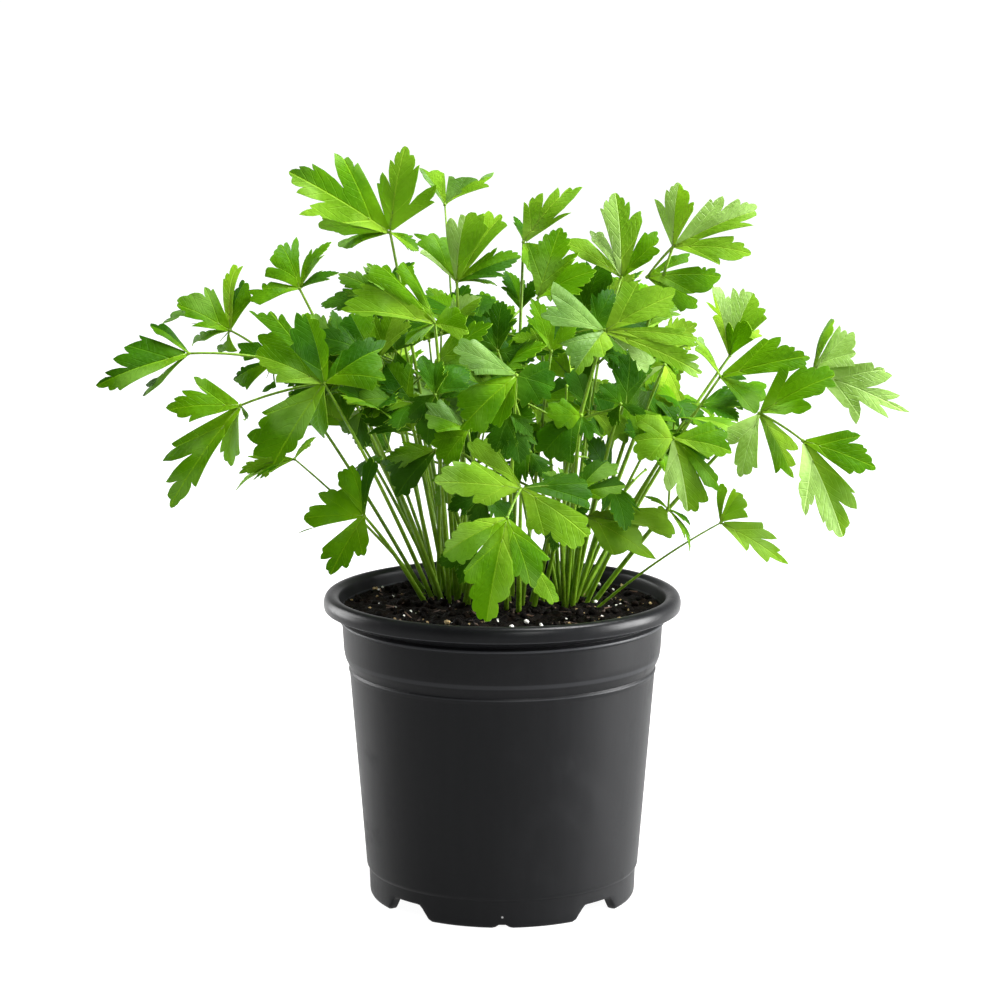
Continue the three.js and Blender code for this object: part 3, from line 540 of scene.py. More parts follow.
            "mm", (149.3, 205.8), (151, 204.8), (155, 203.3), (149.2, 199.8), (156, 199.2),
            (156.3, 198), (158.1, 197), (157, 195.6), (160, 193.4), (160, 191.5), (161.8, 188.4),
            (157.5, 188.6), (155, 186.5), (152.3, 187.8), (150.5, 186.2)],
        (148, 159): [
            "pf", (128.5, 186), (129.5, 184), (129, 177), (129.8, 175.5), (131.8, 168),
            (133.3, 173.3), (134.4, 172.8), (135.3, 178), (139.4, 164.8), (140.3, 166),
            (141.9, 161.4), (143.6, 161.8), (147.6, 158.5), (149.3, 162.5), (151.1, 164.8),
            (145.8, 174.8), (154, 171), (151.3, 178.5), (153.2, 178.2)],
        (176, 213): [
            "pp", (159.2, 235.2), (160.3, 232.5), (164.4, 232.6), (165, 231), (168.2, 229.4),
            (156.6, 224), (171.8, 220.8), (165.8, 218.8), (176.2, 213.4), (162.5, 217),
            (167, 210.8), (154, 218.6), (153, 208), (149.5, 215.3), (147.5, 215.8)],
        (150, 248): [
            "pp", (145, 251.2), (145.4, 247.8), (147.5, 249.2), (148.4, 247.2), (151, 248.4),
            (151.7, 245), (152, 243), (150.4, 240.8), (152.3, 239), (149.8, 236.8), (152, 233.4)],
        (141, 254): ["gf", (138, 249), (139.2, 251), (141.3, 254.1), (142, 251), (142, 247.5)],
    },
    "right_middle": {
        (133, 238): [
            "mm", (112.5, 245.7), (114.5, 244.8), (119.9, 246.2), (118, 241), (122.2, 242.8),
            (123.5, 241.8), (125.9, 241.7), (125.6, 240), (129.6, 239.9), (130, 238.2),
            (132.6, 237.2), (130.5, 235.6), (131.1, 234.3), (127.5, 232.5), (124, 231.3)],
        (109, 213): [
            "mm", (103, 226.8), (106, 226.2), (114, 226), (113, 223.5), (113.7, 220), (111, 218),
            (110, 213.2), (107, 214), (103.5, 215.8)],
        (107, 230): [
            "dd", (99, 233), (102, 232.3), (106.5, 231.2), (103.2, 229.5), (105.4, 227.7),
            (102, 227.4), (100, 226.1)],
        (84, 246): [
            "fg", (83, 240.3), (84.5, 242.3), (82.3, 245.7), (84.3, 244.7), (85.5, 246.3),
            (86.7, 244), (87.2, 242.6)],
    },
    "right_low": {
        (57, 201): [
            "ff", (68, 212.4), (66, 211.9), (62, 212.3), (61, 210.6), (57.6, 208.2), (63, 204.3),
            (57, 202.5), (58.5, 200), (56.5, 197.3), (58.3, 195.3), (58.8, 192.6), (62, 193.6),
            (65, 192.1), (66.5, 194.3), (69, 193.3)],
        (99, 197): [
            "mf", (89.7, 209.5), (92, 206.1), (97.4, 204.5), (96.3, 201.5), (99.4, 195.7),
            (97, 195.5), (95, 194), (91.5, 195), (89, 193.6)],
        (94, 181): [
            "mm", (91, 188.7), (92, 187.1), (93.6, 185.2), (93, 183), (93.7, 179.2), (91, 180.5),
            (87.5, 181.7)],
        (81, 170): [
            "pf", (69.8, 184), (70.5, 181.5), (72, 178.7), (75.6, 182.8), (76.5, 176), (78, 174),
            (80.5, 169.8), (82, 170.8), (84.8, 170.1), (85.2, 174), (89.4, 174.5), (88.9, 177),
            (88.2, 179)],
    },
    "right_trailing": {
        (104, 180): [
            "yf", (100.3, 180.2), (101.3, 178.5), (103.9, 177.8), (104.5, 176), (106.5, 172.8),
            (104.7, 171), (106.8, 167.3)],
        (124, 147): [
            "ff", (112.9, 165.2), (113.5, 162.3), (119.6, 157.9), (111.7, 158.2), (121.2, 152.8),
            (119.5, 152), (124.8, 146.6), (116.5, 149.8), (115.2, 147.4), (107.5, 155.8),
            (106.3, 152.4)],
        (95, 181): ["ff", (93.4, 180.5), (94, 181.2), (95, 182.2), (96.5, 181), (97.7, 179)],
    },
    "right_inner": {
        (65, 150): [
            "ff", (41, 170.6), (43, 169.4), (44.8, 169.8), (46.8, 167.2), (53, 167.5), (56, 166.5),
            (59.5, 167.2), (59, 162.3), (60.7, 157.3), (60.3, 156.2), (67, 148.8), (54.5, 152.8),
            (48.5, 150.6), (46, 152.3), (43.3, 153.8)],
        (75, 160): [
            "ff", (66, 171.7), (67.5, 171.2), (69.2, 172.5), (72, 166.7), (75.2, 160.5),
            (73.8, 159.8), (73, 158), (70, 159.3), (67, 160.3), (63, 163.3), (61, 163.3)],
    },
    "front": {
        (-29, 183): [
            "ff", (-12.5, 192.2), (-14, 190.4), (-21.5, 192.2), (-21, 190), (-26.4, 188.9),
            (-26, 186.6), (-29.5, 183.3), (-26.5, 181.4), (-22.6, 177.4), (-20.5, 178.3),
            (-17.5, 176.6), (-11.8, 177.6), (-13, 174), (-9.5, 173.8), (-6.5, 172.5), (-3, 174.3),
            (-0.5, 175.8)],
        (-8, 203): [
            "ff", (-13.5, 194.5), (-13.8, 196), (-15.2, 199.8), (-12.8, 200.4), (-10.8, 202.2),
            (-8.5, 200.7), (-6, 202.7), (-5, 200.8), (-3, 198.5)],
        (37, 160): [
            "ff", (10.6, 170), (11, 167), (11, 161.8), (13.5, 162.1), (15.7, 159.6), (17, 160.3),
            (18.6, 159.1), (21, 161.6), (23.7, 156.1), (25, 156.8), (26.5, 154.4), (28, 155.3),
            (31.3, 153.1), (32.5, 154.8), (35.4, 155.8), (35.2, 158.5), (38.6, 160.2),
            (36.2, 163.5), (37.3, 167)],
        (53, 181): [
            "dd", (15.5, 182.6), (18, 183), (25.5, 187), (28, 186.2), (31.5, 186.8), (33, 184.3),
            (36, 183.8), (36.6, 180), (38.3, 178.5), (36.8, 175), (37.6, 171)],
        (-25, 152): [
            "fm", (-10, 166.8), (-13, 165.3), (-19, 164.3), (-19.5, 161.7), (-22.2, 160.2),
            (-21.7, 158), (-25.2, 156), (-24.5, 154), (-25.8, 150.5), (-24, 149.7), (-22, 147.6),
            (-20, 148.6), (-17.2, 146.4), (-16, 148.6), (-14, 148.8)],
        (-7, 121): [
            "mf", (-17, 143.6), (-16.2, 141.8), (-16.6, 139.2), (-12, 138), (-14.6, 132.5),
            (-12.8, 131), (-13.1, 126.3), (-11.6, 125.4), (-10, 122.1), (-8.5, 122.6),
            (-6.5, 121.2), (-4.5, 122.6), (-2.5, 123.3), (-2.2, 129.5), (2.7, 132.5), (3, 136),
            (5, 139.5)],
        (13, 137): [
            "mm", (4.2, 147), (4.5, 145.5), (5.4, 141.1), (7.5, 141.9), (10.2, 137.7),
            (11.5, 138.4), (13.6, 136), (15.2, 139.5), (17.5, 144.3), (17, 148.3), (20.8, 148.8)],
        (23, 129): [
            "ff", (13.6, 134.3), (15.5, 133.3), (17.5, 131.6), (19, 131.1), (21.7, 128.7),
            (22.4, 129.8), (24.6, 130.3), (23.2, 134), (22, 138)],
    },
    "front_centre": {
        (-20, 241): [
            "gg", (-12, 245.2), (-14, 244.4), (-17.6, 245.6), (-19, 242.5), (-21.3, 240),
            (-17.7, 238), (-18.5, 234.4), (-15, 234.2), (-13.6, 231.6), (-12, 231.4),
            (-11.9, 229.6)],
        (-17, 208): [
            "mm", (-14, 224.7), (-15.5, 223.2), (-19.5, 220.6), (-18.6, 218), (-20, 216.4),
            (-15.7, 215), (-18.6, 212.3), (-15.2, 210), (-18.5, 206.3), (-13, 206.7),
            (-12.5, 204.8), (-11, 205.4), (-8, 204.3), (-6, 209), (-5, 208.5)],
        (-2, 207): [
            "mm", (-5.5, 214), (-4.8, 211.5), (-3.8, 207.8), (-2.5, 208.2), (-1.2, 206.8),
            (0.5, 210), (3.4, 212.3), (3.7, 215), (5.2, 217.3)],
        (25, 223): [
            "dd", (12, 234.8), (14, 234.2), (20, 235.6), (19.7, 231.8), (23, 230), (21.7, 227.5),
            (22.6, 224.3), (20.2, 223), (20.7, 219.2), (17, 219.8), (15, 216.4), (12.5, 219.3),
            (8.6, 215.3), (7.6, 219), (6.3, 219.8)],
    },
    "left_low": {
        (-86, 167): [
            "mm", (-69.5, 180), (-71.5, 178.9), (-74.6, 179.8), (-76, 178.6), (-80, 177.9),
            (-76.2, 172.8), (-83.8, 172), (-83.8, 170), (-86.4, 166.6), (-81.8, 162.8),
            (-89.5, 160)],
        (-66, 190): [
            "mm", (-71.2, 181.5), (-70.9, 183.5), (-71, 187.5), (-69.3, 187.6), (-67.8, 188.8),
            (-66.8, 188.3), (-65, 190.5), (-63.6, 188.5), (-61.3, 184.5)],
        (-75, 142): [
            "mm", (-78.4, 153.8), (-78.2, 151.8), (-79.2, 148.8), (-74, 149.9), (-77, 144.6),
            (-75.9, 143.7), (-74.8, 141.8), (-69.8, 145.9), (-68, 144.8), (-66.6, 147),
            (-65.8, 148.8), (-64.9, 154.5), (-63.2, 150.2), (-61.5, 150.8), (-60, 150.4),
            (-59.1, 154), (-57.9, 157.5)],
        (-56, 194): [
            "dd", (-60.2, 190), (-58.7, 191.5), (-57, 194), (-55.8, 191.6), (-53.8, 190.4),
            (-54.4, 187.5), (-55.7, 185)],
    },
    "centre_right_low": {
        (31, 232): [
            "dd", (27, 224), (28, 226), (26.6, 230.6), (29, 230.2), (31.5, 232.8), (33, 230.7),
            (36.2, 229.8), (36.6, 226), (37.6, 223)],
        (20, 212): [
            "mm", (26, 219.8), (24.5, 217.7), (19.7, 216.8), (20.8, 214.6), (19, 212), (22, 210.3),
            (24, 206.2), (27, 207.8), (29.5, 205.2)],
        (57, 206): [
            "ff", (52, 212.2), (54, 210.1), (57.6, 208.2), (56.2, 206), (57.3, 203.3),
            (54.6, 202.8), (53.7, 199.7), (50, 202.1), (47, 200.7)],
        (17, 195): [
            "dd", (19.5, 209), (18, 207), (14.7, 204.2), (15.6, 200.6), (14, 197.4), (17.4, 196.4),
            (20, 193), (22.5, 193.8), (25, 191.7), (27, 192.8), (30.6, 190.9), (30.8, 195),
            (32, 198)],
    },
    "right_hollow": {
        (77, 219): [
            "yy", (74.5, 229.7), (74.8, 228), (76.8, 225), (76.5, 223), (79, 219.4), (75.5, 218.3),
            (72, 215.7), (69.5, 217.8), (65.6, 219.8)],
        (54, 220): [
            "gg", (65, 222.6), (62, 222.5), (55, 222.8), (56, 219.4), (52.5, 217.5), (57.5, 216),
            (62, 214)],
    },
    "low_left": {
        (-46, 177): [
            "dd", (-46, 197), (-48, 195.2), (-52.4, 192.2), (-50.6, 189.6), (-50.2, 187.8),
            (-48.2, 187.3), (-48, 181.8), (-46.2, 180.8), (-46, 176.2), (-43.5, 177.6),
            (-41, 176.8), (-39.8, 180), (-37, 181.3)],
    },
    "low_centre": {
        (-33, 213): [
            "gm", (-27, 219.3), (-28.5, 217.2), (-33.3, 217.7), (-31.6, 214.6), (-33.5, 212),
            (-31.9, 210), (-32.2, 206.6), (-29.5, 206.3), (-28, 204.6)],
        (-26, 191): [
            "mm", (-29.5, 204.2), (-28.9, 202), (-31, 199.5), (-28.3, 197.8), (-28.7, 193.2),
            (-26, 193.2), (-24.5, 190.5), (-22, 191.8), (-19, 190.7)],
    },
    "left_shade": {
        (-52, 236): [
            "gg", (-44, 233.7), (-46, 234), (-51.7, 238.2), (-49.6, 234), (-51.2, 230.5),
            (-49.4, 229), (-50.5, 225.8), (-47.6, 224.3), (-46.6, 221.3), (-44, 221.3),
            (-41, 219)],
        (-34, 238): ["dd", (-38, 234.5), (-36.5, 236), (-34, 238.3), (-31.5, 235.7), (-30, 233)],
        (-26, 236): ["dd", (-29.5, 232), (-28, 234), (-26.3, 236), (-24, 233.8), (-21, 236.3)],
    },
    "left_inner": {
        (-41, 215): [
            "mm", (-56, 220.5), (-53, 219.4), (-47, 217.5), (-45, 216.7), (-40.3, 215.5),
            (-43.5, 213.4), (-46, 211.8), (-49, 211.4), (-52, 209.8)],
        (-70, 207): [
            "mm", (-66, 210.2), (-67.5, 209.5), (-70.8, 209), (-69.7, 206.8), (-68.6, 204.5),
            (-66, 204.6), (-63, 203.6)],
    },
    "shade_right": {
        (43, 278): [
            "dd", (31, 272), (34, 271.5), (36, 278.8), (38.5, 274.8), (42.3, 277.8), (44, 276.7),
            (47.6, 276.8), (46.6, 273.5), (47.6, 270), (45, 268), (44.8, 264)],
    },
    "low_right": {
        (46, 193): [
            "dm", (36, 190), (37, 190.2), (41.5, 192.8), (43, 191.2), (45, 192.5), (46.5, 190.8),
            (50.2, 190.5), (48.5, 188.3), (50.2, 186.6)],
        (53, 181.5): [
            "dm", (42, 182.3), (44.5, 183.6), (49.6, 185.4), (50.4, 183.6), (53.4, 181.6),
            (51.6, 179.6), (51.2, 177.8), (46.5, 178), (42, 175.2)],
    },
}
own_keys = {(name, x, z) for name, own in OWN_SHAPES.items() for x, z in own}
assert own_keys <= leaflet_keys, own_keys - leaflet_keys
print(len(own_keys), "leaflets have outlines of their own")

# Two leaflets in the shade stand right behind their likes and share their outlines.
OWN_SHAPES["front_right"] = {place: OWN_SHAPES["centre_right_low"][place]
                             for place in ((17, 195), (20, 212))}

# %% [markdown]
# ## A leaflet laid flat
# A parsley leaflet is a thin wedge that splits into three lobes, each with a few rounded
# teeth. It could be a picture on a card, but then its edge would be paper-thin and its teeth
# would vanish in a mesh. Here one half of the outline is a short list of notches and tooth
# tips, with a bulging curve from each to the next. The outline is one flat face, which
# bisect_plane cuts along the ribs and into small cells, so that it can bend later.
# Four different halves, paired left and right, give sixteen leaflets that all differ.

# %% Half outlines
# Corners as [share of length, share of width], from the wedge's end to the last notch:
# tooth tip, notch, tooth tip, and so on. The leaflet's own tip comes after them.
HALVES = {
    "broad": [(0.55, 0.46), (0.585, 0.435), (0.70, 0.51), (0.49, 0.165), (0.735, 0.335),
              (0.745, 0.255), (0.86, 0.26), (0.855, 0.18), (0.945, 0.14), (0.935, 0.08)],
    "round": [(0.42, 0.36), (0.46, 0.35), (0.56, 0.49), (0.59, 0.45), (0.675, 0.53),
              (0.68, 0.46), (0.74, 0.45), (0.55, 0.20), (0.77, 0.345), (0.78, 0.27),
              (0.875, 0.26), (0.875, 0.18), (0.95, 0.13), (0.94, 0.07)],
    "cut": [(0.50, 0.38), (0.53, 0.355), (0.63, 0.50), (0.645, 0.43), (0.74, 0.47),
            (0.41, 0.11), (0.65, 0.26), (0.655, 0.185), (0.80, 0.27), (0.79, 0.17),
            (0.90, 0.155), (0.89, 0.085)],
    "plain": [(0.44, 0.37), (0.48, 0.35), (0.63, 0.51), (0.56, 0.275), (0.75, 0.395),
              (0.74, 0.29), (0.865, 0.28), (0.855, 0.18), (0.95, 0.125), (0.94, 0.07)],
}
print(len(HALVES), "half outlines")

# %% Flat leaflets
WEDGE_START = (0.03, 0.045)
WEDGE_BULGE = 0.0
TOOTH_BULGE = 0.17  # a tooth's outer edge is round, and its edge towards the tip is straighter
NOTCH_BULGE = 0.08
LONG_EDGE = 0.2  # an edge longer than this is a lobe's side, which bulges less
LONG_BULGE = 0.08
RIB_FOOT = 0.2  # where the side lobes' ribs leave the middle rib
RIB_ANGLE = math.atan2(0.515, 0.47)
LOBE_SLOPE = 0.45  # a side lobe lies outside a line from there with this slope
NEAR_CELL = 0.075
NEAR_STEPS = 3  # points along each curve of the edge
THICK_CELL = 0.14
THICK_STEPS = 2
SNAP = 1e-4  # a cut this near to a corner goes through it
TOP, UNDER, STALK = 0, 1, 2  # material slots


def edge_curve(a, b, bulge, steps):
    """Points from a up to, but not at, b along a curve that bulges to the left of its way."""
    a, b = Vector(a), Vector(b)
    way = b - a
    middle = (a + b) / 2 + Vector((-way.y, way.x)) * 2 * bulge
    return [a.lerp(middle, t / steps).lerp(middle.lerp(b, t / steps), t / steps)
            for t in range(steps)]


def whole_outline(corners, steps):
    """The edge through a ring of tooth tips and notches, which starts and ends with a tooth."""
    x, y = WEDGE_START
    line = [(x, y), *corners, (x, -y)]
    tip = max(range(len(line)), key=lambda i: line[i][0])
    points = []
    for i, (a, b) in enumerate(zip(line, line[1:])):
        to_tooth = i % 2 == 0
        bulge = LONG_BULGE if (Vector(b) - Vector(a)).length > LONG_EDGE else TOOTH_BULGE
        if to_tooth != (i < tip):
            bulge = NOTCH_BULGE
        if i in (0, len(line) - 2):
            bulge = WEDGE_BULGE
        points += edge_curve(a, b, bulge, steps)
    return points + [Vector(line[-1])]


def cut_lines(bm, cell):
    """Cuts the flat face along its ribs and into cells."""
    widest = max(abs(v.co.y) for v in bm.verts)
    cuts = [(0, 0, 0, 1)]
    for side in (1, -1):
        cuts.append((RIB_FOOT, 0, -math.sin(RIB_ANGLE), side * math.cos(RIB_ANGLE)))
    cuts += [(cell * k, 0, 1, 0) for k in range(2, round(1 / cell))]
    cuts += [(0, side * cell * k, 0, 1) for side in (1, -1)
             for k in range(1, math.ceil(widest / cell))]
    for u, v, across_u, across_v in cuts:
        everything = bm.verts[:] + bm.edges[:] + bm.faces[:]
        bmesh.ops.bisect_plane(bm, geom=everything, dist=SNAP, plane_co=(u, v, 0),
                               plane_no=(across_u, across_v, 0))


def mesh_of(bm, name):
    """Turns the working mesh into one that an object can hold."""
    mesh = bpy.data.meshes.new(name)
    bm.to_mesh(mesh)
    bm.free()
    return mesh


def flat_leaflet(corners, steps=NEAR_STEPS, cell=NEAR_CELL):
    """A flat leaflet as a closed plate, one unit long and one unit thick, with its own UVs."""
    bm = bmesh.new()
    outline = whole_outline(corners, steps)
    bm.faces.new([bm.verts.new((p.x, p.y, 0)) for p in reversed(outline)])
    cut_lines(bm, cell)
    many_sided = [f for f in bm.faces if len(f.verts) > 4]
    bmesh.ops.triangulate(bm, faces=many_sided)
    if bm.faces[:][0].normal.z < 0:
        bmesh.ops.reverse_faces(bm, faces=bm.faces[:])
    uv = bm.loops.layers.uv.new("leaflet")
    for face in bm.faces:
        for loop in face.loops:
            loop[uv].uv = loop.vert.co.xy
    bmesh.ops.solidify(bm, geom=bm.faces[:], thickness=1)
    middle = sum(v.co.z for v in bm.verts) / len(bm.verts)
    bmesh.ops.translate(bm, verts=bm.verts[:], vec=(0, 0, -middle))
    for face in bm.faces:
        face.smooth = True
        heights = [v.co.z for v in face.verts]
        face.material_index = TOP if min(heights) > 0 else UNDER
        if min(heights) < 0 < max(heights):
            for edge in face.edges:
                edge.smooth = edge.verts[0].co.z * edge.verts[1].co.z < 0
    bmesh.ops.recalc_face_normals(bm, faces=bm.faces[:])
    return mesh_of(bm, "flat_leaflet")


flat_leaflets = {}
plain_leaflets = {}
for left in HALVES:
    for right in HALVES:
        corners = [*HALVES[left], (1, 0), *[(u, -v) for u, v in reversed(HALVES[right])]]
        flat_leaflets[left, right] = flat_leaflet(corners)
        plain_leaflets[left, right] = flat_leaflet(corners, THICK_STEPS, THICK_CELL)
for kept in (flat_leaflets, plain_leaflets):
    print(len(kept), "flat leaflets, one has", len(kept["broad", "round"].polygons), "faces")

# %% [markdown]
# ## Bending a leaflet into place
# A leaflet hangs from its knot and points at its tip, and its face turns between the front
# and the sky. The flat plate is copied into the stem's mesh, and each corner is carried from
# its flat place to its real one: along the leaflet, across it, and up from it by a curve.
# That curve is like the frame's, an arch along the rib with a fold beside it, only with less
# fold and curl. Over it come a furrow on each side rib and a slow wave, with sizes drawn anew
# for each leaflet.

# %% Bend a leaflet
BLADE_THICKNESS = 0.32 * MM
BLADE_ARCH = 0.07
BLADE_FOLD = 0.13
BLADE_CURL = 0.45
FURROW = 0.014
FURROW_WIDTH = 0.1
LOPSIDED = 0.06
SWAY_SHARE = 0.5
LONG_LEAFLET = 25 * MM
LONG_WEIGHTS = [4, 3, 4, 1]  # how often a long leaflet's half is broad, round, cut or plain
SHORT_WEIGHTS = [1, 2, 3, 4]
RIB_STOPS = (0.0, 0.08, 0.16, 0.26, 0.4, 0.55)  # the stalk runs on under the blade to here
FIT_ROUNDS = 4  # rounds that home in on a point of a curved surface


def blade_rise(u, v, width, bend):
    """Height of a blade over its flat plane at u along and v across, in shares of length."""
    side = abs(v)
    rise = BLADE_ARCH * 4 * u * (1 - u) + bend["fold"] * side - BLADE_CURL * side * side
    off_rib = abs((side / width) * math.cos(RIB_ANGLE) - (u - RIB_FOOT) * math.sin(RIB_ANGLE))
    rise -= FURROW * max(0, 1 - off_rib / FURROW_WIDTH) * (u > RIB_FOOT)
    lobe = max(0, side - LOBE_SLOPE * width * (u - RIB_FOOT))
    rise += bend["left" if v > 0 else "right"] * lobe * min(1, side / 0.08)
    rise -= bend["droop"] * max(0, u - 0.55) ** 2
    return rise + bend["wave"] * math.sin(8 * u + 5 * v + bend["phase"]) * min(1, side / 0.1)


def drawn_bend(draw):
    """The sizes of one leaflet's folds and waves."""
    return {"fold": BLADE_FOLD * draw.uniform(0.7, 1.6), "wave": draw.uniform(0.006, 0.015),
            "phase": draw.uniform(0, 2 * math.pi), "sway": draw.uniform(-0.12, 0.12),
            "left": draw.uniform(-0.3, 0.3), "right": draw.uniform(-0.3, 0.3),
            "droop": draw.uniform(-0.1, 0.5)}


def seen_face(knot, tip, tilt):
    """Where a leaflet's upper face points: between the front and the sky."""
    along = (tip - knot).normalized()
    facing = EYE - knot
    facing = (facing - facing.dot(along) * along).normalized()
    skyward = along.cross(facing)
    if skyward.z < 0:
        skyward.negate()
    angle = math.radians(tilt)
    return facing * math.cos(angle) + skyward * math.sin(angle)


def fitted(outline, knot, along, face, length, width, bend):
    """An outline as seen from the front, carried to the bent leaflet's own flat coordinates."""
    across = face.cross(along)
    flat = []
    for x, z in outline:
        way = Vector((x, 0, z)) * MM - EYE
        rise = 0
        for _ in range(FIT_ROUNDS):
            reach = (knot + face * rise * length - EYE).dot(face) / way.dot(face)
            off = (EYE + way * reach - knot) / length
            rise = blade_rise(off.dot(along), off.dot(across), width, bend)
        flat.append((off.dot(along), off.dot(across) / width))
    return flat


def turns_left(line):
    """Whether a line of points goes anticlockwise round the leaflet's foot."""
    return sum(a[0] * b[1] - b[0] * a[1] for a, b in zip(line, line[1:])) > 0


def add_leaflet(bm, knot, tip, face, width, lopsided, draw, tints, flats, own):
    """Puts a flat leaflet into the mesh, bends it into place, and gives its middle line."""
    length = (tip - knot).length
    along = (tip - knot).normalized()
    face = (face - face.dot(along) * along).normalized()
    across = face.cross(along)
    weights = LONG_WEIGHTS if length > LONG_LEAFLET else SHORT_WEIGHTS
    left, right = draw.choices(list(HALVES), weights, k=2)
    bend = drawn_bend(draw)
    flat = flats[left, right]
    if own:
        bend["sway"] = lopsided = 0
        corners = fitted(own, knot, along, face, length, width, bend)
        if turns_left(corners):
            corners.reverse()
            tints = tints[::-1]
        flat = flat_leaflet(corners)

    def swayed(u):
        """How far the middle line swings sideways at u along."""
        return bend["sway"] * u * (1 - u) * SWAY_SHARE

    def carried(u, v, rise):
        """Where a point goes that lies at u along and v across, with a rise above the plate."""
        return knot + along * u * length + across * v * length + face * rise

    first_vert = len(bm.verts)
    first_face = len(bm.faces)
    bm.from_mesh(flat)
    bm.verts.ensure_lookup_table()
    bm.faces.ensure_lookup_table()
    for made in bm.faces[first_face:]:
        if made.material_index == TOP:
            made.material_index = tints[0] if made.calc_center_median().y > 0 else tints[1]
    for vert in bm.verts[first_vert:]:
        u, v, side = vert.co
        u *= 1 + math.copysign(lopsided, v) * min(1, abs(v) / 0.2)
        v = v * width + swayed(u)
        rise = blade_rise(u, v, width, bend) * length
        vert.co = carried(u, v, rise + side * BLADE_THICKNESS)
    middle = [carried(u, swayed(u), blade_rise(u, 0, width, bend) * length) for u in RIB_STOPS]
    return middle, face


print("leaflets bend by", BLADE_ARCH, "of their length along and fold by", BLADE_FOLD, "beside")

# %% [markdown]
# ## Stems, stalks and knots
# A stem is a round, juicy bar, thicker at its foot. A curve with a bevel would draw it, but
# the stem has to be one mesh with its leaflets, so its ring is extruded from point to point
# along the bowed line. Stalks and branches are thinner bars of the same kind, and a small
# bead makes the swelling of each knot.

# %% Bars along a line
STEM_FOOT = 9 * MM
STEM_FOOT_RADIUS = 1.25 * MM
STEM_TOP_RADIUS = 0.6 * MM
BRANCH_RADIUS = 0.62 * MM
STALK_RADIUS = 0.52 * MM
STALK_TIP_RADIUS = 0.14 * MM
KNOT_RADIUS = 0.95 * MM
STEM_STEPS = 14
STEM_SIDES = 10
BRANCH_STEPS = 7
BRANCH_SIDES = 8
STALK_SIDES = 6


def as_stalk(faces):
    """Smooths faces and gives them the stalks' finish."""
    for face in faces:
        face.material_index = STALK
        face.smooth = True


def add_bar(bm, line, start_radius, end_radius, sides):
    """A round bar along a line of points, made by extruding its end face from point to point."""
    ways = [(b - a).normalized() for a, b in zip(line, line[1:])]
    ways.append(ways[-1])
    placed = Matrix.Translation(line[0]) @ ways[0].to_track_quat("Z", "X").to_matrix().to_4x4()
    start = bmesh.ops.create_circle(bm, cap_ends=True, segments=sides, radius=start_radius,
                                    matrix=placed)
    cap = start["verts"][0].link_faces[0]
    made_faces = {cap}
    old_radius = start_radius
    for i in range(1, len(line)):
        radius = start_radius + (end_radius - start_radius) * i / (len(line) - 1)
        grown = bmesh.ops.extrude_face_region(bm, geom=[cap])["geom"]
        turn = ways[i - 1].rotation_difference(ways[i])
        for vert in (g for g in grown if isinstance(g, bmesh.types.BMVert)):
            off = turn @ (vert.co - line[i - 1])
            vert.co = line[i] + off * (radius / old_radius)
        cap = next(g for g in grown if isinstance(g, bmesh.types.BMFace))
        made_faces.update(f for e in cap.edges for f in e.link_faces)
        old_radius = radius
    as_stalk(face for face in made_faces if face.is_valid)


def add_knot(bm, place, radius):
    """The small swelling where leaflets and branches meet."""
    bead = bmesh.ops.create_icosphere(bm, subdivisions=1, radius=radius,
                                      matrix=Matrix.Translation(place))
    as_stalk({f for v in bead["verts"] for f in v.link_faces})


print("stems taper from", 2 * STEM_FOOT_RADIUS / MM, "to", 2 * STEM_TOP_RADIUS / MM, "mm")

# %% [markdown]
# ## The soil's surface
# Stems stand in the soil, so its height comes before them. It is a low mound with slow lumps,
# as in the frame but 3 to 5 mm higher, where the photo shows its edge. On the real plant it
# is broken into crumbs: fractal noise gives the rough ground and a cell pattern the clods.

# %% Height of the soil
SOIL_EDGE = 127.3 * MM
SOIL_MOUND = 1.0 * MM
SOIL_RADIUS = 69.7 * MM
BAND_TOP_RADIUS = 69.9 * MM
CLOD_SIZE = 3.4 * MM
CLOD_HEIGHT = 2 * MM
ROUGH_SIZE = 6 * MM
ROUGH_HEIGHT = 1.5 * MM
LUMP_HEIGHT = 0.375 * MM


def soil_mound(x, y):
    """Height of the smooth mound, with lumps that are sums of slow waves."""
    lumps = math.sin(310 * x + 0.8) * math.sin(270 * y) + math.sin(530 * x - 470 * y)
    share = math.hypot(x, y) / BAND_TOP_RADIUS
    return SOIL_EDGE + SOIL_MOUND * (1 - share * share) + LUMP_HEIGHT * lumps


def soil_height(x, y):
    """Height of the crumbly surface."""
    gaps = noise.voronoi(Vector((x, y, 0)) / CLOD_SIZE)[0]
    clod = CLOD_HEIGHT * (0.5 - gaps[0])
    rough = ROUGH_HEIGHT * noise.fractal(Vector((x, y, 0)) / ROUGH_SIZE, 0.9, 2.1, 4)
    return soil_mound(x, y) + clod + rough


print("soil lies at", round(soil_mound(0, 0) / MM, 1), "mm in the middle")

# %% [markdown]
# ## The leafy stems
# Each leafy stem becomes one piece: a bar from the soil to its first knot, thinner branches
# to its other knots, and at each knot the leaflets on their stalks. It takes the place of
# the frame's node of the same name. Random draws are seeded with the stem's place in the
# list, so a change to one stem leaves the others as they were.

# %% Grow a leafy stem
# The material slots of the upper side's tints: mid, deep (painted shade), fresh and young
# (partly painted light), pale and greyish (painted sheen).
TINTS = {"m": TOP, "d": 3, "f": 4, "y": 5, "p": 6, "g": 7}
# Drawn tints use the same letters: deep is painted shade, pale and greyish are painted sheen,
# fresh is partly painted light. The thick of the plant draws mostly deep ones, as painted shade.
DRAWN_TINTS = ["mm", "dd", "dm", "mf", "ff", "gm", "pf"]
DRAWN_SHARES = [4, 5, 3, 2, 2, 1, 1]
THICK_SHARES = [5, 9, 4, 1, 0.5, 1, 0.2]

# Across the pot, in millimetres: feet past the first number crowd round the second one.
RIGHT_FEET = 20
RIGHT_BUNCH = 28.5
BUNCH_SPREAD = 0.55
SHADE_SEED = 100


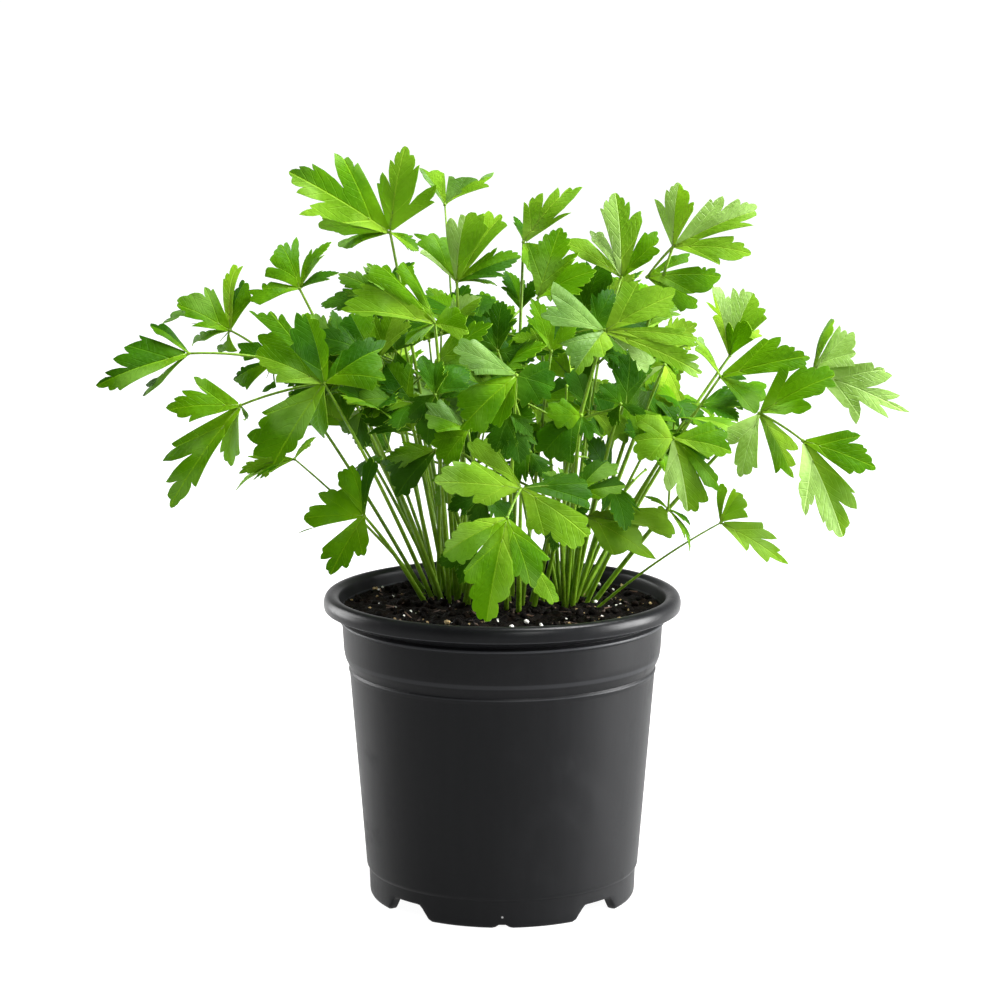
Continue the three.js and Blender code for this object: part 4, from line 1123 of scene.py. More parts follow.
def foot_of(foot_x, foot_y):
    """Where a stem's foot stands, a little way down in the soil."""
    if foot_x > RIGHT_FEET:
        foot_x = RIGHT_BUNCH + (foot_x - RIGHT_BUNCH) * BUNCH_SPREAD
    x, y = foot_x * MM, foot_y * MM
    return Vector((x, y, soil_mound(x, y) - STEM_FOOT))


def add_stalked(bm, knot, tip, face, width, lopsided, draw, flats=flat_leaflets, own=None):
    """A leaflet with the stalk that carries it, which runs on under its blade as a rib."""
    length = (tip - knot).length
    shares = DRAWN_SHARES if flats is flat_leaflets else THICK_SHARES
    letters = own[0] if own else draw.choices(DRAWN_TINTS, shares)[0]
    tints = [TINTS[letter] for letter in letters]
    middle, face = add_leaflet(bm, knot, tip, face, width, lopsided, draw, tints, flats,
                               own and own[1:])
    stalk = [place - face * 0.3 * STALK_RADIUS for place in middle]
    slimness = min(1, 0.45 + length / (60 * MM))
    add_bar(bm, stalk, STALK_RADIUS * slimness, STALK_TIP_RADIUS, STALK_SIDES)


def leafy_stem(name, foot, knots, seed, usual=None):
    """The mesh of one listed leafy stem, with the usual own shape or tints of its leaflets."""
    draw = random.Random(seed)
    bm = bmesh.new()
    first = seen(*knots[0][0])
    thick = draw.uniform(0.85, 1.15) * THIN_STEMS.get(name, 1)
    add_bar(bm, bowed(foot, first, STEM_STEPS), thick * STEM_FOOT_RADIUS,
            STEM_TOP_RADIUS * min(1, thick), STEM_SIDES)
    for order, (place, leaflets) in enumerate(knots):
        knot = seen(*place)
        add_knot(bm, knot, KNOT_RADIUS)
        if order:
            add_bar(bm, bowed(first, knot, BRANCH_STEPS), BRANCH_RADIUS, 0.8 * BRANCH_RADIUS,
                    BRANCH_SIDES)
        for i, (x, z, reach, tilt, width) in enumerate(leaflets):
            tip = seen(x, z, place[2] + reach)
            lopsided = LOPSIDED * math.sin(x + 2 * i)
            own = OWN_SHAPES.get(name, {}).get((x, z), usual)
            add_stalked(bm, knot, tip, seen_face(knot, tip, tilt), width, lopsided, draw,
                        own=own)
    return mesh_of(bm, "leafy_stem")


def place_piece(name, mesh, slot, *stands_for):
    """Puts a mesh in the scene as a piece that rides on the plant's one body."""
    piece = bpy.data.objects.new(name, mesh)
    bpy.context.scene.collection.objects.link(piece)
    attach(piece, "root")
    if stands_for:
        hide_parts(*stands_for)
    return piece


stems = []
for seed, (name, foot, knots) in enumerate(LEAFY_STEMS):
    mesh = leafy_stem(name, foot_of(*foot), knots, seed)
    stems.append(place_piece("parsley_" + name, mesh, "leaf", "stem_" + name))
# Shade stems take the deep tint for all their leaflets, as painted shade.
for seed, (name, foot, knots) in enumerate(SHADE_STEMS, SHADE_SEED):
    mesh = leafy_stem(name, foot_of(*foot), knots, seed, ["dd"])
    stems.append(place_piece("parsley_shade_" + name, mesh, "leaf"))
print(len(stems), "leafy stems with", sum(len(s.data.polygons) for s in stems), "faces")

# %% [markdown]
# ## The thick of the plant
# Behind the leaves that can be told apart stand many more, which make the crown dark and
# full. They are grown by a rule: a stem forks into three, each fork carries three leaflets,
# and every leaflet turns its face outwards and up, as leaves do for light. The forks fill an
# egg-shaped crown. Openings through which the white background shows from the front are
# listed, and a leaflet that would close one isn't grown.

# %% Grow the thick of the plant
CROWN_MIDDLE = Vector((4, 16, 218)) * MM
CROWN_REACH = Vector((84, 70, 60)) * MM
LIGHT_MIDDLE = Vector((4, 18, 175)) * MM  # leaves face away from here
FRONT_DEPTH = 40 * MM  # leaves in front of this depth also turn to the front
FORK_LEAFLETS = ((0, 1), (66, 0.84), (-66, 0.84))  # turn in degrees and share of the size
BUNCHES = [(-24, 20), (27, 14)]  # where the feet of the left and right stems crowd
THICK_STEMS = 26
THICK_SEED = 400
THICK_SIZES = (24, 36)  # lengths of the leaflets, in millimetres
THICK_WIDTHS = (0.6, 0.85)
THICK_STEM_STEPS = 10
THICK_STEM_SIDES = 8
FORK_STEPS = 5
FORK_SIDES = 6

# Openings as [x, z, radius] on the pot's mid plane, in millimetres, and a margin round each.
OPENING_MARGIN = 5
OPENINGS = [[-60, 281, 12], [86, 251, 11], [81, 173, 11], [-74, 196, 10], [-47, 176, 8],
            [-33, 297, 9], [54, 192, 6], [68, 158, 7], [83, 227, 5], [-77, 265, 6],
            [-97, 258, 6], [-54, 173, 6], [-32, 241, 4.5], [-80, 188, 5], [-48, 156, 6],
            [-24, 269, 4], [24, 236, 4], [62, 183, 4], [9, 255, 4], [22, 189, 3.5],
            [-39, 201, 3], [10, 271, 3], [46, 232, 3], [55, 149, 6], [-53, 155, 5]]


def seen_on_plane(place):
    """Where a point looks, from the front, to be on the mid plane."""
    on_plane = EYE.lerp(place, EYE.y / (EYE.y - place.y))
    return on_plane.x / MM, on_plane.z / MM


def closes_opening(knot, tip):
    """Whether a leaflet between two points would cover an opening."""
    for share in (0.35, 0.7, 0.95):
        x, z = seen_on_plane(knot.lerp(tip, share))
        for window_x, window_z, radius in OPENINGS:
            if math.hypot(x - window_x, z - window_z) < radius + OPENING_MARGIN:
                return True
    return False


def in_crown(draw):
    """A drawn place in the crown, more often near its surface."""
    height = draw.uniform(-0.75, 1)
    angle = draw.uniform(0, 2 * math.pi)
    level = math.sqrt(1 - height * height)
    way = Vector((level * math.cos(angle), level * math.sin(angle), height))
    return CROWN_MIDDLE + way * CROWN_REACH * draw.uniform(0.55, 1)


def grow_fork(bm, start, knot, draw):
    """Three leaflets at a knot, turned to the light."""
    add_bar(bm, bowed(start, knot, FORK_STEPS), BRANCH_RADIUS, 0.7 * BRANCH_RADIUS, FORK_SIDES)
    add_knot(bm, knot, 0.9 * KNOT_RADIUS)
    outward = (knot - LIGHT_MIDDLE).normalized()
    face = outward * 0.6 + Vector((0, 0, 0.7))
    face += Vector([draw.uniform(-0.3, 0.3) for _ in range(3)])
    if knot.y < FRONT_DEPTH:
        face += Vector((0, -0.7, 0))
    face.normalize()
    ahead = (knot - start).normalized() + outward * 0.7
    ahead = (ahead - ahead.dot(face) * face * 0.8).normalized()
    size = draw.uniform(*THICK_SIZES) * MM
    for turn, share in FORK_LEAFLETS:
        turn += draw.uniform(-12, 12)
        way = Matrix.Rotation(math.radians(turn), 3, face) @ ahead
        tip = knot + way * size * share
        if not closes_opening(knot, tip):
            add_stalked(bm, knot, tip, face, draw.uniform(*THICK_WIDTHS), 0, draw,
                        plain_leaflets)


def thick_stem(seed):
    """A stem with three forks that grows in the thick of the plant."""
    draw = random.Random(seed)
    bm = bmesh.new()
    knot = in_crown(draw)
    bunch_x, bunch_y = BUNCHES[knot.x > CROWN_MIDDLE.x]
    foot = foot_of(bunch_x + 0.04 * knot.x / MM + draw.uniform(-4, 4),
                   bunch_y + 0.12 * knot.y / MM + draw.uniform(-6, 6))
    start = foot.lerp(knot, draw.uniform(0.76, 0.86)) + Vector((0, 0, 4 * MM))
    add_bar(bm, bowed(foot, start, THICK_STEM_STEPS), STEM_FOOT_RADIUS * 0.85, STEM_TOP_RADIUS,
            THICK_STEM_SIDES)
    grow_fork(bm, start, knot, draw)
    side = (knot - start).cross(Vector((0, 0, 1))).normalized()
    for hand in (1, -1):
        way = side * hand * draw.uniform(22, 34) + Vector((0, 0, draw.uniform(0, 14)))
        grow_fork(bm, start, start + way * MM + (knot - start) * 0.3, draw)
    return mesh_of(bm, "thick_stem")


for i in range(THICK_STEMS):
    stems.append(place_piece(f"parsley_thick_{i + 1}", thick_stem(THICK_SEED + i), "leaf"))
print(len(stems), "leafy stems with", sum(len(s.data.polygons) for s in stems), "faces")

# %% [markdown]
# ## The pot
# The real pot is one thin injection-moulded shell: a rolled rim, a wide band, a tapered wall,
# and a foot ring cut by four arches. A shell like that is turned, so its section is drawn
# once and spun round the axis. Corners get small rounds first, because moulded plastic has
# no sharp ones and the rounds catch the light. The arches are then raised from the foot's
# lower edge by a formula, and the drain holes are cut with a Boolean.

# %% The pot's section
FLOOR_UNDER = 8
FLOOR_TOP = 9.6
POT_STEPS = 240
LONGEST_STRETCH = 6  # between two points of the section

# Corners of the section as [radius, height, size of its round], in millimetres.
OUTER_WALL = [[0, FLOOR_UNDER, 0], [54.5, FLOOR_UNDER, 0.6], [54.5, 0, 0.5], [58.4, 0, 2.4],
              [58.8, 12.2, 0.3], [59.8, 13.6, 0.8], [66.7, 99.6, 0.3], [67.2, 101.2, 0.25],
              [66.5, 102.3, 0.3], [68.5, 106.3, 1.5], [69.2, 109.5, 2], [69.8, 119.4, 1.2],
              [69.9, 121.9, 0.4], [70.9, 122.5, 0.3], [70.7, 123.3, 0.3], [69.2, 124.6, 0.3],
              [75.6, 127.6, 0.5]]
RIM = [[77.6, 128, 0.35], [78.1, 131, 1.8], [76.8, 134.2, 1.6], [73.6, 134.8, 1.4],
       [71.3, 133.2, 0.8]]
INNER_WALL = [[70, 128.4, 1.2], [68.4, 121.1, 3], [66.5, 104, 1], [65.2, 99.5, 1],
              [58.5, 14.1, 0.6], [57, FLOOR_TOP, 0.8], [0, FLOOR_TOP, 0]]


def rounded(corners, steps=4):
    """The corners of a section with each one turned into a short curve of its own size."""
    points = []
    for i, (r, z, size) in enumerate(corners):
        corner = Vector((r, 0, z))
        if size == 0 or i in (0, len(corners) - 1):
            points.append(corner)
            continue
        before = Vector((corners[i - 1][0], 0, corners[i - 1][1]))
        after = Vector((corners[i + 1][0], 0, corners[i + 1][1]))
        into = corner + (before - corner).normalized() * min(size, (before - corner).length / 2)
        out = corner + (after - corner).normalized() * min(size, (after - corner).length / 2)
        for t in range(steps + 1):
            share = t / steps
            points.append(into.lerp(corner, share).lerp(corner.lerp(out, share), share))
    return points


def long_stretches(points, longest):
    """The points with more between those that lie far apart."""
    filled = []
    for a, b in zip(points, points[1:]):
        steps = max(1, math.ceil((b - a).length / longest))
        filled += [a.lerp(b, t / steps) for t in range(steps)]
    return filled + [points[-1]]


section = long_stretches(rounded(OUTER_WALL + RIM + INNER_WALL), LONGEST_STRETCH)
print("the pot's section has", len(section), "points")

# %% Spin the pot and cut its foot
# Half widths of the arches and dimples are measured along the foot ring, in millimetres.
ARCH_HEIGHT = 6.8
ARCH_FOOT = 13.5
ARCH_TOP = 7
DIMPLE_HEIGHT = 1.3
DIMPLE_FOOT = 3.6
DIMPLE_TOP = 2
FOOT_RADIUS = 58.5
DRAIN_RADIUS = 4.5
DRAIN_CIRCLE = 43


def smooth_step(x):
    """Goes from 0 to 1 with soft ends."""
    x = min(1, max(0, x))
    return x * x * (3 - 2 * x)


def foot_lift(x, y):
    """How far the foot's lower edge is raised at a place: arches and small dimples."""
    angle = math.atan2(y, x) % (math.pi / 2)
    from_arch = abs(angle - math.pi / 4) * FOOT_RADIUS
    from_dimple = min(angle, math.pi / 2 - angle) * FOOT_RADIUS
    arch = ARCH_HEIGHT * smooth_step((ARCH_FOOT - from_arch) / (ARCH_FOOT - ARCH_TOP))
    dimple = smooth_step((DIMPLE_FOOT - from_dimple) / (DIMPLE_FOOT - DIMPLE_TOP))
    return arch + DIMPLE_HEIGHT * dimple


def spun(points, steps):
    """A working mesh of a line of points that is spun once round the pot's axis."""
    bm = bmesh.new()
    line = [bm.verts.new(p) for p in points]
    edges = [bm.edges.new(pair) for pair in zip(line, line[1:])]
    bmesh.ops.spin(bm, geom=line + edges, cent=(0, 0, 0), axis=(0, 0, 1), dvec=(0, 0, 0),
                   angle=2 * math.pi, steps=steps, use_merge=True)
    bmesh.ops.remove_doubles(bm, verts=bm.verts[:], dist=0.01 * MM)
    return bm


def smooth_mesh(bm, name):
    """Smooths all faces, turns them outwards and gives the mesh."""
    for face in bm.faces:
        face.smooth = True
    bmesh.ops.recalc_face_normals(bm, faces=bm.faces[:])
    return mesh_of(bm, name)


def pot_mesh():
    """The pot as one closed shell."""
    bm = spun([p * MM for p in section], POT_STEPS)
    for vert in bm.verts:
        z = vert.co.z / MM
        if z < FLOOR_UNDER - 0.01:
            lift = foot_lift(vert.co.x, vert.co.y)
            vert.co.z = (lift + z * (FLOOR_UNDER - lift) / FLOOR_UNDER) * MM
    return smooth_mesh(bm, "pot")


def drain_pins():
    """Four pins where the floor's drain holes go."""
    bm = bmesh.new()
    for i in range(4):
        angle = math.pi / 4 + i * math.pi / 2
        place = Vector((math.cos(angle), math.sin(angle), 0)) * DRAIN_CIRCLE
        place.z = (FLOOR_UNDER + FLOOR_TOP) / 2
        bmesh.ops.create_cone(bm, cap_ends=True, segments=32, radius1=DRAIN_RADIUS * MM,
                              radius2=DRAIN_RADIUS * MM, depth=6 * MM,
                              matrix=Matrix.Translation(place * MM))
    return bpy.data.objects.new("drain_pins", mesh_of(bm, "drain_pins"))


def cut_away(piece, cutter):
    """Cuts one object out of another for good, and throws the cutter away."""
    bpy.context.scene.collection.objects.link(cutter)
    cut = piece.modifiers.new("cut", "BOOLEAN")
    cut.operation = "DIFFERENCE"
    cut.object = cutter
    evaluated = piece.evaluated_get(bpy.context.evaluated_depsgraph_get())
    piece.data = bpy.data.meshes.new_from_object(evaluated)
    piece.modifiers.clear()
    bpy.data.objects.remove(cutter)


pot = place_piece("pot_shell", pot_mesh(), "pot_plastic", "pot")
cut_away(pot, drain_pins())
print("pot", len(pot.data.polygons), "faces, box", [round(d / MM, 1) for d in pot.dimensions])

# %% [markdown]
# ## The soil
# The surface is a fan of rings, spun from one line and then moved up and down by the height
# formula. Below the surface the mix only has to fill the pot, as it shows through the
# drain holes, so its side and its underside are a few more points of the same line.

# %% Spin the soil
SOIL_RINGS = 66
SOIL_STEPS = 260

# The soil's underside and side as (radius, height), in millimetres, just inside the wall.
SOIL_SIDE = [(0, 9.95), (56.2, 9.95), (57.9, 14.1), (64.5, 99.5), (65.8, 104), (67.4, 119.5)]


def soil_mesh():
    """The body of soil with its crumbly top."""
    points = [Vector((r, 0, z)) * MM for r, z in SOIL_SIDE]
    points += [Vector((SOIL_RADIUS * ring / SOIL_RINGS, 0, SOIL_EDGE))
               for ring in range(SOIL_RINGS, -1, -1)]
    bm = spun(points, SOIL_STEPS)
    for vert in bm.verts:
        if vert.co.z > SOIL_EDGE - 0.1 * MM:
            vert.co.z = soil_height(vert.co.x, vert.co.y)
    return smooth_mesh(bm, "soil")


soil = place_piece("potting_soil", soil_mesh(), "soil", "soil")
print("soil", len(soil.data.polygons), "faces")

# %% [markdown]
# ## Bits in the soil
# Potting mix shows white perlite, which is puffed volcanic glass, tan grains, brown shreds of
# bark and dark crumbs of peat. Each is a small lump or splinter with a few dozen faces, made
# from a sphere or a cube whose corners are pushed about. The ones that can be told apart on
# the real plant have their own places, and the rest are strewn by a seeded draw.

# %% Perlite, grit and bark
# Seen places as [x, z, size] on the pot's mid plane, in millimetres.
PERLITE_SEEN = [[-40, 126, 1.5], [-38, 123, 1.2], [-33, 125.5, 1.1], [-3, 117.5, 1.6],
                [4, 118, 2.6], [10.5, 121, 2.4], [17, 119, 1.7], [-2, 121, 1.2],
                [42.4, 137.2, 1.8], [48.3, 135.2, 1.6], [40.8, 129, 1.7], [43.5, 124, 1.4],
                [28, 121, 1.1], [33, 125, 1.0], [-12, 118, 1.0], [-61.5, 137.3, 1.3],
                [-36.7, 129.8, 1.2], [-30.6, 127.3, 1.1], [55.2, 126.8, 1.1]]
GRIT_SEEN = [[-24, 119.5, 3.0], [-20, 126.3, 1.8], [35.8, 132.4, 2.2], [49.1, 131.3, 1.8],
             [51.5, 130, 1.6], [52.4, 135.8, 1.8], [59.7, 134.7, 1.4], [64.7, 128.5, 1.6],
             [61.4, 129, 1.3], [44.7, 133.5, 1.4], [43, 140, 1.8], [32.4, 126.5, 1.5],
             [35.2, 121.1, 1.3], [40.2, 120.3, 1.2], [-58.4, 134.9, 1.7], [-54.8, 134.7, 1.8],
             [-46.7, 134.9, 1.6], [-43.7, 121.1, 1.5], [-55.2, 123.9, 1.3], [-57.9, 126.2, 1.2],
             [-69, 130, 1.2]]
PERLITE_STREWN = 70
GRIT_STREWN = 90
BARK_STREWN = 130
CRUMBS_STREWN = 420
SEEN_REACH = SOIL_RADIUS - 2 * MM
STREWN_REACH = SOIL_RADIUS - 1.5 * MM


def on_soil(x, z):
    """The place on the soil that looks, from the front, to be at x, z on the mid plane."""
    place = Vector((x, 0, z)) * MM
    way = place - EYE
    for _ in range(FIT_ROUNDS):
        level = soil_mound(place.x, place.y)
        place = EYE + way * ((level - EYE.z) / way.z)
        flat = Vector((place.x, place.y))
        if flat.length > SEEN_REACH:
            flat *= SEEN_REACH / flat.length
            place.x, place.y = flat
    return place.x, place.y


def strewn(draw):
    """A drawn place on the soil, even over its area."""
    radius = STREWN_REACH * math.sqrt(draw.random())
    angle = draw.uniform(0, 2 * math.pi)
    return radius * math.cos(angle), radius * math.sin(angle)


def add_lump(bm, x, y, size, draw):
    """A rounded, knobbly grain that lies half sunk in the soil."""
    turn = Matrix.Rotation(draw.uniform(0, 6.28), 4, Vector((draw.random(), draw.random(), 1)))
    stretch = Matrix.Diagonal((draw.uniform(0.8, 1.25), draw.uniform(0.7, 1), 0.8, 1))
    z = soil_height(x, y) + 0.15 * size * MM
    made = bmesh.ops.create_icosphere(bm, subdivisions=2, radius=size * MM / 2,
                                      matrix=Matrix.Translation((x, y, z)) @ turn @ stretch)
    middle = Vector((x, y, z))
    for vert in made["verts"]:
        bump = noise.noise(vert.co / (0.7 * MM))
        vert.co += (vert.co - middle) * 0.35 * bump
    for face in {f for v in made["verts"] for f in v.link_faces}:
        face.smooth = True


def add_splinter(bm, x, y, length, draw):
    """A flat shred of bark that lies on the soil."""
    heading = draw.uniform(0, 2 * math.pi)
    lean = draw.uniform(-0.35, 0.35)
    turn = Matrix.Rotation(heading, 4, "Z") @ Matrix.Rotation(lean, 4, "Y")
    shape = Matrix.Diagonal((length, draw.uniform(0.5, 1.3), draw.uniform(0.3, 0.6), 1))
    place = Matrix.Translation((x, y, soil_height(x, y) + 0.3 * MM))
    made = bmesh.ops.create_cube(bm, size=MM)
    edges = {e for v in made["verts"] for e in v.link_edges}
    made = bmesh.ops.subdivide_edges(bm, edges=list(edges), cuts=2, use_grid_fill=True)
    verts = {v for f in made["geom_inner"] + made["geom_split"] if f.is_valid
             for v in ([f] if isinstance(f, bmesh.types.BMVert) else f.verts)}
    for vert in verts:
        share = abs(vert.co.x) / (0.5 * MM)
        vert.co.y *= 1 - 0.55 * share
        vert.co.x += 0.1 * MM * noise.noise(vert.co * 3000 + Vector((heading, lean, 0)))
        vert.co = place @ turn @ shape @ vert.co
    return verts


def scatter(name, seen_list, count, sizes, add, seed):
    """A piece made of many small bits: those that are seen, and drawn ones."""
    draw = random.Random(seed)
    bm = bmesh.new()
    for x, z, size in seen_list:
        add(bm, *on_soil(x, z), size, draw)
    for _ in range(count):
        add(bm, *strewn(draw), draw.uniform(*sizes), draw)
    bmesh.ops.recalc_face_normals(bm, faces=bm.faces[:])
    mesh = mesh_of(bm, name)
    print(name, len(mesh.polygons), "faces")
    return place_piece(name, mesh, "soil")


perlite = scatter("perlite", PERLITE_SEEN, PERLITE_STREWN, (0.5, 1.3), add_lump, 11)
grit = scatter("tan_grit", GRIT_SEEN, GRIT_STREWN, (0.6, 1.5), add_lump, 12)
bark = scatter("bark_shreds", [], BARK_STREWN, (2.5, 8), add_splinter, 13)
crumbs = scatter("peat_crumbs", [], CRUMBS_STREWN, (1.2, 4), add_lump, 14)

# %% [markdown]
# ## Shader maths as Python
# A finish that varies over a surface is a sum of masks. Wiring Math nodes one by one hides
# the sum, so a small class wraps a socket and lets Python's operators add the nodes. One
# method makes every other kind of node.

# %% Numbers and finishes
class Number:
    """Something that varies over a surface: the socket that gives it, with operators."""

    def __init__(self, finish, socket):
        self.finish = finish
        self.socket = socket

    def __add__(self, other):
        return self.finish.maths("ADD", self, other)

    def __sub__(self, other):
        return self.finish.maths("SUBTRACT", self, other)

    def __rsub__(self, other):
        return self.finish.maths("SUBTRACT", other, self)

    def __mul__(self, other):
        return self.finish.maths("MULTIPLY", self, other)

    __radd__ = __add__
    __rmul__ = __mul__

    def size(self):
        """The number without its sign."""
        return self.finish.maths("ABSOLUTE", self)

    def over(self, other):
        """1 where the number is greater than another, else 0."""
        return self.finish.maths("GREATER_THAN", self, other)

    def larger(self, other):
        return self.finish.maths("MAXIMUM", self, other)

    def line(self, sharp):
        """A thin line wherever the number is whole."""
        off = self.finish.maths("FRACT", self) - 0.5
        return off.size().ramp(0.5 - sharp, 0.5)

    def ramp(self, low, high):
        """Goes softly from 0 at low to 1 at high."""
        settings = {"interpolation_type": "SMOOTHSTEP"}
        return self.finish.node("MapRange", settings, {0: self, 1: low, 2: high})

    def other(self, output):
        """Another output of the same node."""
        return Number(self.finish, self.socket.node.outputs[output])


class Finish:
    """The nodes of a material, or of the sky, under construction."""

    def __init__(self, owner):
        self.owner = owner
        owner.use_nodes = True
        self.tree = owner.node_tree
        self.tree.nodes.clear()

    def node(self, kind, settings=None, inputs=None, output=0):
        """Adds a node, sets it up, feeds its sockets and gives back one of its outputs."""
        node = self.tree.nodes.new("ShaderNode" + kind)
        for key, value in (settings or {}).items():
            setattr(node, key, value)
        for key, value in (inputs or {}).items():
            if isinstance(value, Number):
                self.tree.links.new(value.socket, node.inputs[key])
            elif node.inputs[key].type == "RGBA":
                node.inputs[key].default_value = (*value, 1)
            else:
                node.inputs[key].default_value = value
        return Number(self, node.outputs[output]) if node.outputs else None

    def maths(self, operation, *values):
        """A Math node on numbers and sockets."""
        return self.node("Math", {"operation": operation}, dict(enumerate(values)))

    def place(self):
        """Object coordinates, which are metres in the frame."""
        return self.node("TexCoord", output="Object")

    def near(self, place, point, inner, outer):
        """Fades from 1 within an inner distance of a point to 0 at an outer one."""
        away = self.node("VectorMath", {"operation": "DISTANCE"}, {0: place, 1: point}, 1)
        return 1 - away.ramp(inner, outer)

    def noise(self, place, scale, detail=3.0, roughness=0.55):
        """Fractal noise between 0 and 1."""
        inputs = {"Vector": place, "Scale": scale, "Detail": detail, "Roughness": roughness}
        return self.node("TexNoise", inputs=inputs)

    def blend(self, share, first, second):
        """A colour between two."""
        return self.node("Mix", {"data_type": "RGBA"}, {0: share, 6: first, 7: second}, 2)

    def bump(self, height, distance):
        """A normal that is tilted by a height."""
        return self.node("Bump", inputs={"Height": height, "Distance": distance})

    def surface(self, colour, roughness, bump, **constants):
        """The usual shader: constants are set on its own sockets."""
        inputs = {"Base Color": colour, "Roughness": roughness, "Normal": bump}
        inputs.update({key.replace("_", " "): value for key, value in constants.items()})
        return self.node("BsdfPrincipled", inputs=inputs)

    def done(self, surface):
        """Ends the material with its surface."""
        self.node("OutputMaterial", inputs={"Surface": surface})
        return self.owner


def new_finish(name):
    """The nodes of a new material."""
    return Finish(bpy.data.materials.new(name))


print("shader maths ready")

# %% [markdown]
# ## Leaf finishes
# A parsley blade is thin and full of water: it shines softly, glows yellow-green where light
# comes through it, and is quilted between its veins. The ribs and veins follow the leaflet,
# so they are drawn in its own flat coordinates, with the same rib lines that the mesh is cut
# on. The finish mixes the usual shader with a translucent one. There are six tints of the
# upper side: a mid green; fresh and young greens, lighter partly as younger leaves are and
# partly as painted light; a deep green that is painted shade; and a pale and a greyish green
# that are painted sheen. There is one paler, duller underside.

# %% Leaf finishes
def leaf_ribs(finish, place):
    """Masks of a leaflet's ribs and veins, and how far along the leaflet a point is."""
    flat = finish.node("UVMap", {"uv_map": "leaflet"})
    along = finish.node("SeparateXYZ", inputs={0: flat})
    side = along.other("Y").size()
    wobble = finish.noise(place, 130, 1.0) - 0.5
    from_foot = along - RIB_FOOT
    off_rib = side * math.cos(RIB_ANGLE) - from_foot * math.sin(RIB_ANGLE)
    up_rib = from_foot * math.cos(RIB_ANGLE) + side * math.sin(RIB_ANGLE)
    middle = 1 - side.ramp(0.003, 0.016)
    branch = (1 - off_rib.size().ramp(0.002, 0.014)) * from_foot.over(0)
    ribs = middle.larger(branch * 0.85)
    in_middle = ((along - side * 0.95) * 9.5 + wobble * 0.7).line(0.1)
    in_side = ((up_rib - off_rib.size() * 0.8) * 10.5 + wobble * 0.7).line(0.1)
    side_lobe = (side - from_foot * LOBE_SLOPE).over(0)
    veins = in_middle + (in_side - in_middle) * side_lobe
    return along, ribs, veins * along.ramp(0.2, 0.4)


def leaf_finish(name, deep, fresh, rib_colour, glow, glow_share, painted_sheen_share, sheen=0.02, raised=-1):
    """A leaf's finish, from a deep and a fresh green; raised is 1 where the ribs stand out."""
    finish = new_finish(name)
    place = finish.place()
    along, ribs, veins = leaf_ribs(finish, place)
    patches = finish.noise(place, 45, 3.0).ramp(0.36, 0.66)
    mottle = finish.noise(place, 700, 2.0).ramp(0.3, 0.7)
    colour = finish.blend(patches * 0.75 + mottle * 0.25, deep, fresh)
    # Soft pale patches are painted sheen.
    painted_sheen_patches = finish.noise(place, 33, 2.0).ramp(0.5, 0.7)
    colour = finish.blend(painted_sheen_patches * painted_sheen_share, colour, PAINTED_SHEEN_COLOUR)
    # Paler towards the leaflet's foot: partly its own paler base, partly painted sheen.
    colour = finish.blend((1 - along.ramp(0.0, 0.5)) * 0.4, colour, rib_colour)
    colour = finish.blend(ribs * 0.5 + veins * 0.14, colour, rib_colour)
    cells = finish.node("TexVoronoi", {"feature": "SMOOTH_F1"}, {"Vector": place, "Scale": 520})
    height = (ribs * 0.4 + veins * 0.25) * raised - cells * 0.45 + mottle * 0.08
    bump = finish.bump(height, 0.45 * MM)
    roughness = 0.4 + mottle * 0.12 + ribs * 0.08
    blade = finish.surface(colour, roughness, bump, Specular_IOR_Level=sheen)
    through = finish.node("BsdfTranslucent", inputs={"Color": glow, "Normal": bump})
    mixed = finish.node("MixShader", inputs={0: glow_share, 1: blade, 2: through})
    return finish.done(mixed)


GLOW = (0.4, 0.72, 0.001)
PALE_GLOW = (0.5, 0.72, 0.08)
PAINTED_SHEEN_COLOUR = (0.2, 0.32, 0.08)
# The deep tint is painted shade, the pale and greyish ones are painted sheen, and the fresh and
# young ones are lighter greens that are partly painted light.
leaf_tops = [
    leaf_finish("leaf_mid", (0.02, 0.066, 0.0004), (0.045, 0.118, 0.0008),
                (0.12, 0.23, 0.004), GLOW, 0.22, 0.25),
    leaf_finish("leaf_painted_shade", (0.005, 0.029, 0.0002), (0.014, 0.056, 0.0003),
                (0.042, 0.112, 0.002), GLOW, 0.1, 0.04),
    leaf_finish("leaf_fresh_partly_painted_light", (0.048, 0.112, 0.003), (0.092, 0.178, 0.009),
                (0.19, 0.3, 0.02), GLOW, 0.26, 0.4),
    leaf_finish("leaf_young_partly_painted_light", (0.085, 0.17, 0.004), (0.14, 0.245, 0.012),
                (0.23, 0.34, 0.03), GLOW, 0.34, 0.3),
    leaf_finish("leaf_painted_sheen", (0.085, 0.155, 0.02), (0.14, 0.235, 0.05),
                (0.25, 0.37, 0.1), PALE_GLOW, 0.24, 0.4, sheen=0.15),
    leaf_finish("leaf_dull_painted_sheen", (0.032, 0.082, 0.008), (0.06, 0.124, 0.019),
                (0.11, 0.2, 0.035), GLOW, 0.15, 0.25, sheen=0.08),
]
leaf_under = leaf_finish("leaf_underside", (0.085, 0.165, 0.008), (0.135, 0.23, 0.016),
                         (0.23, 0.33, 0.04), GLOW, 0.34, 0.3, raised=1)
print(len(leaf_tops) + 1, "leaf finishes")

# %% [markdown]
# Stems and stalks are smooth and juicy, a clear green with fine lengthwise grooves. They
# stand nearly upright, so streaks in height that are squeezed sideways run along them.

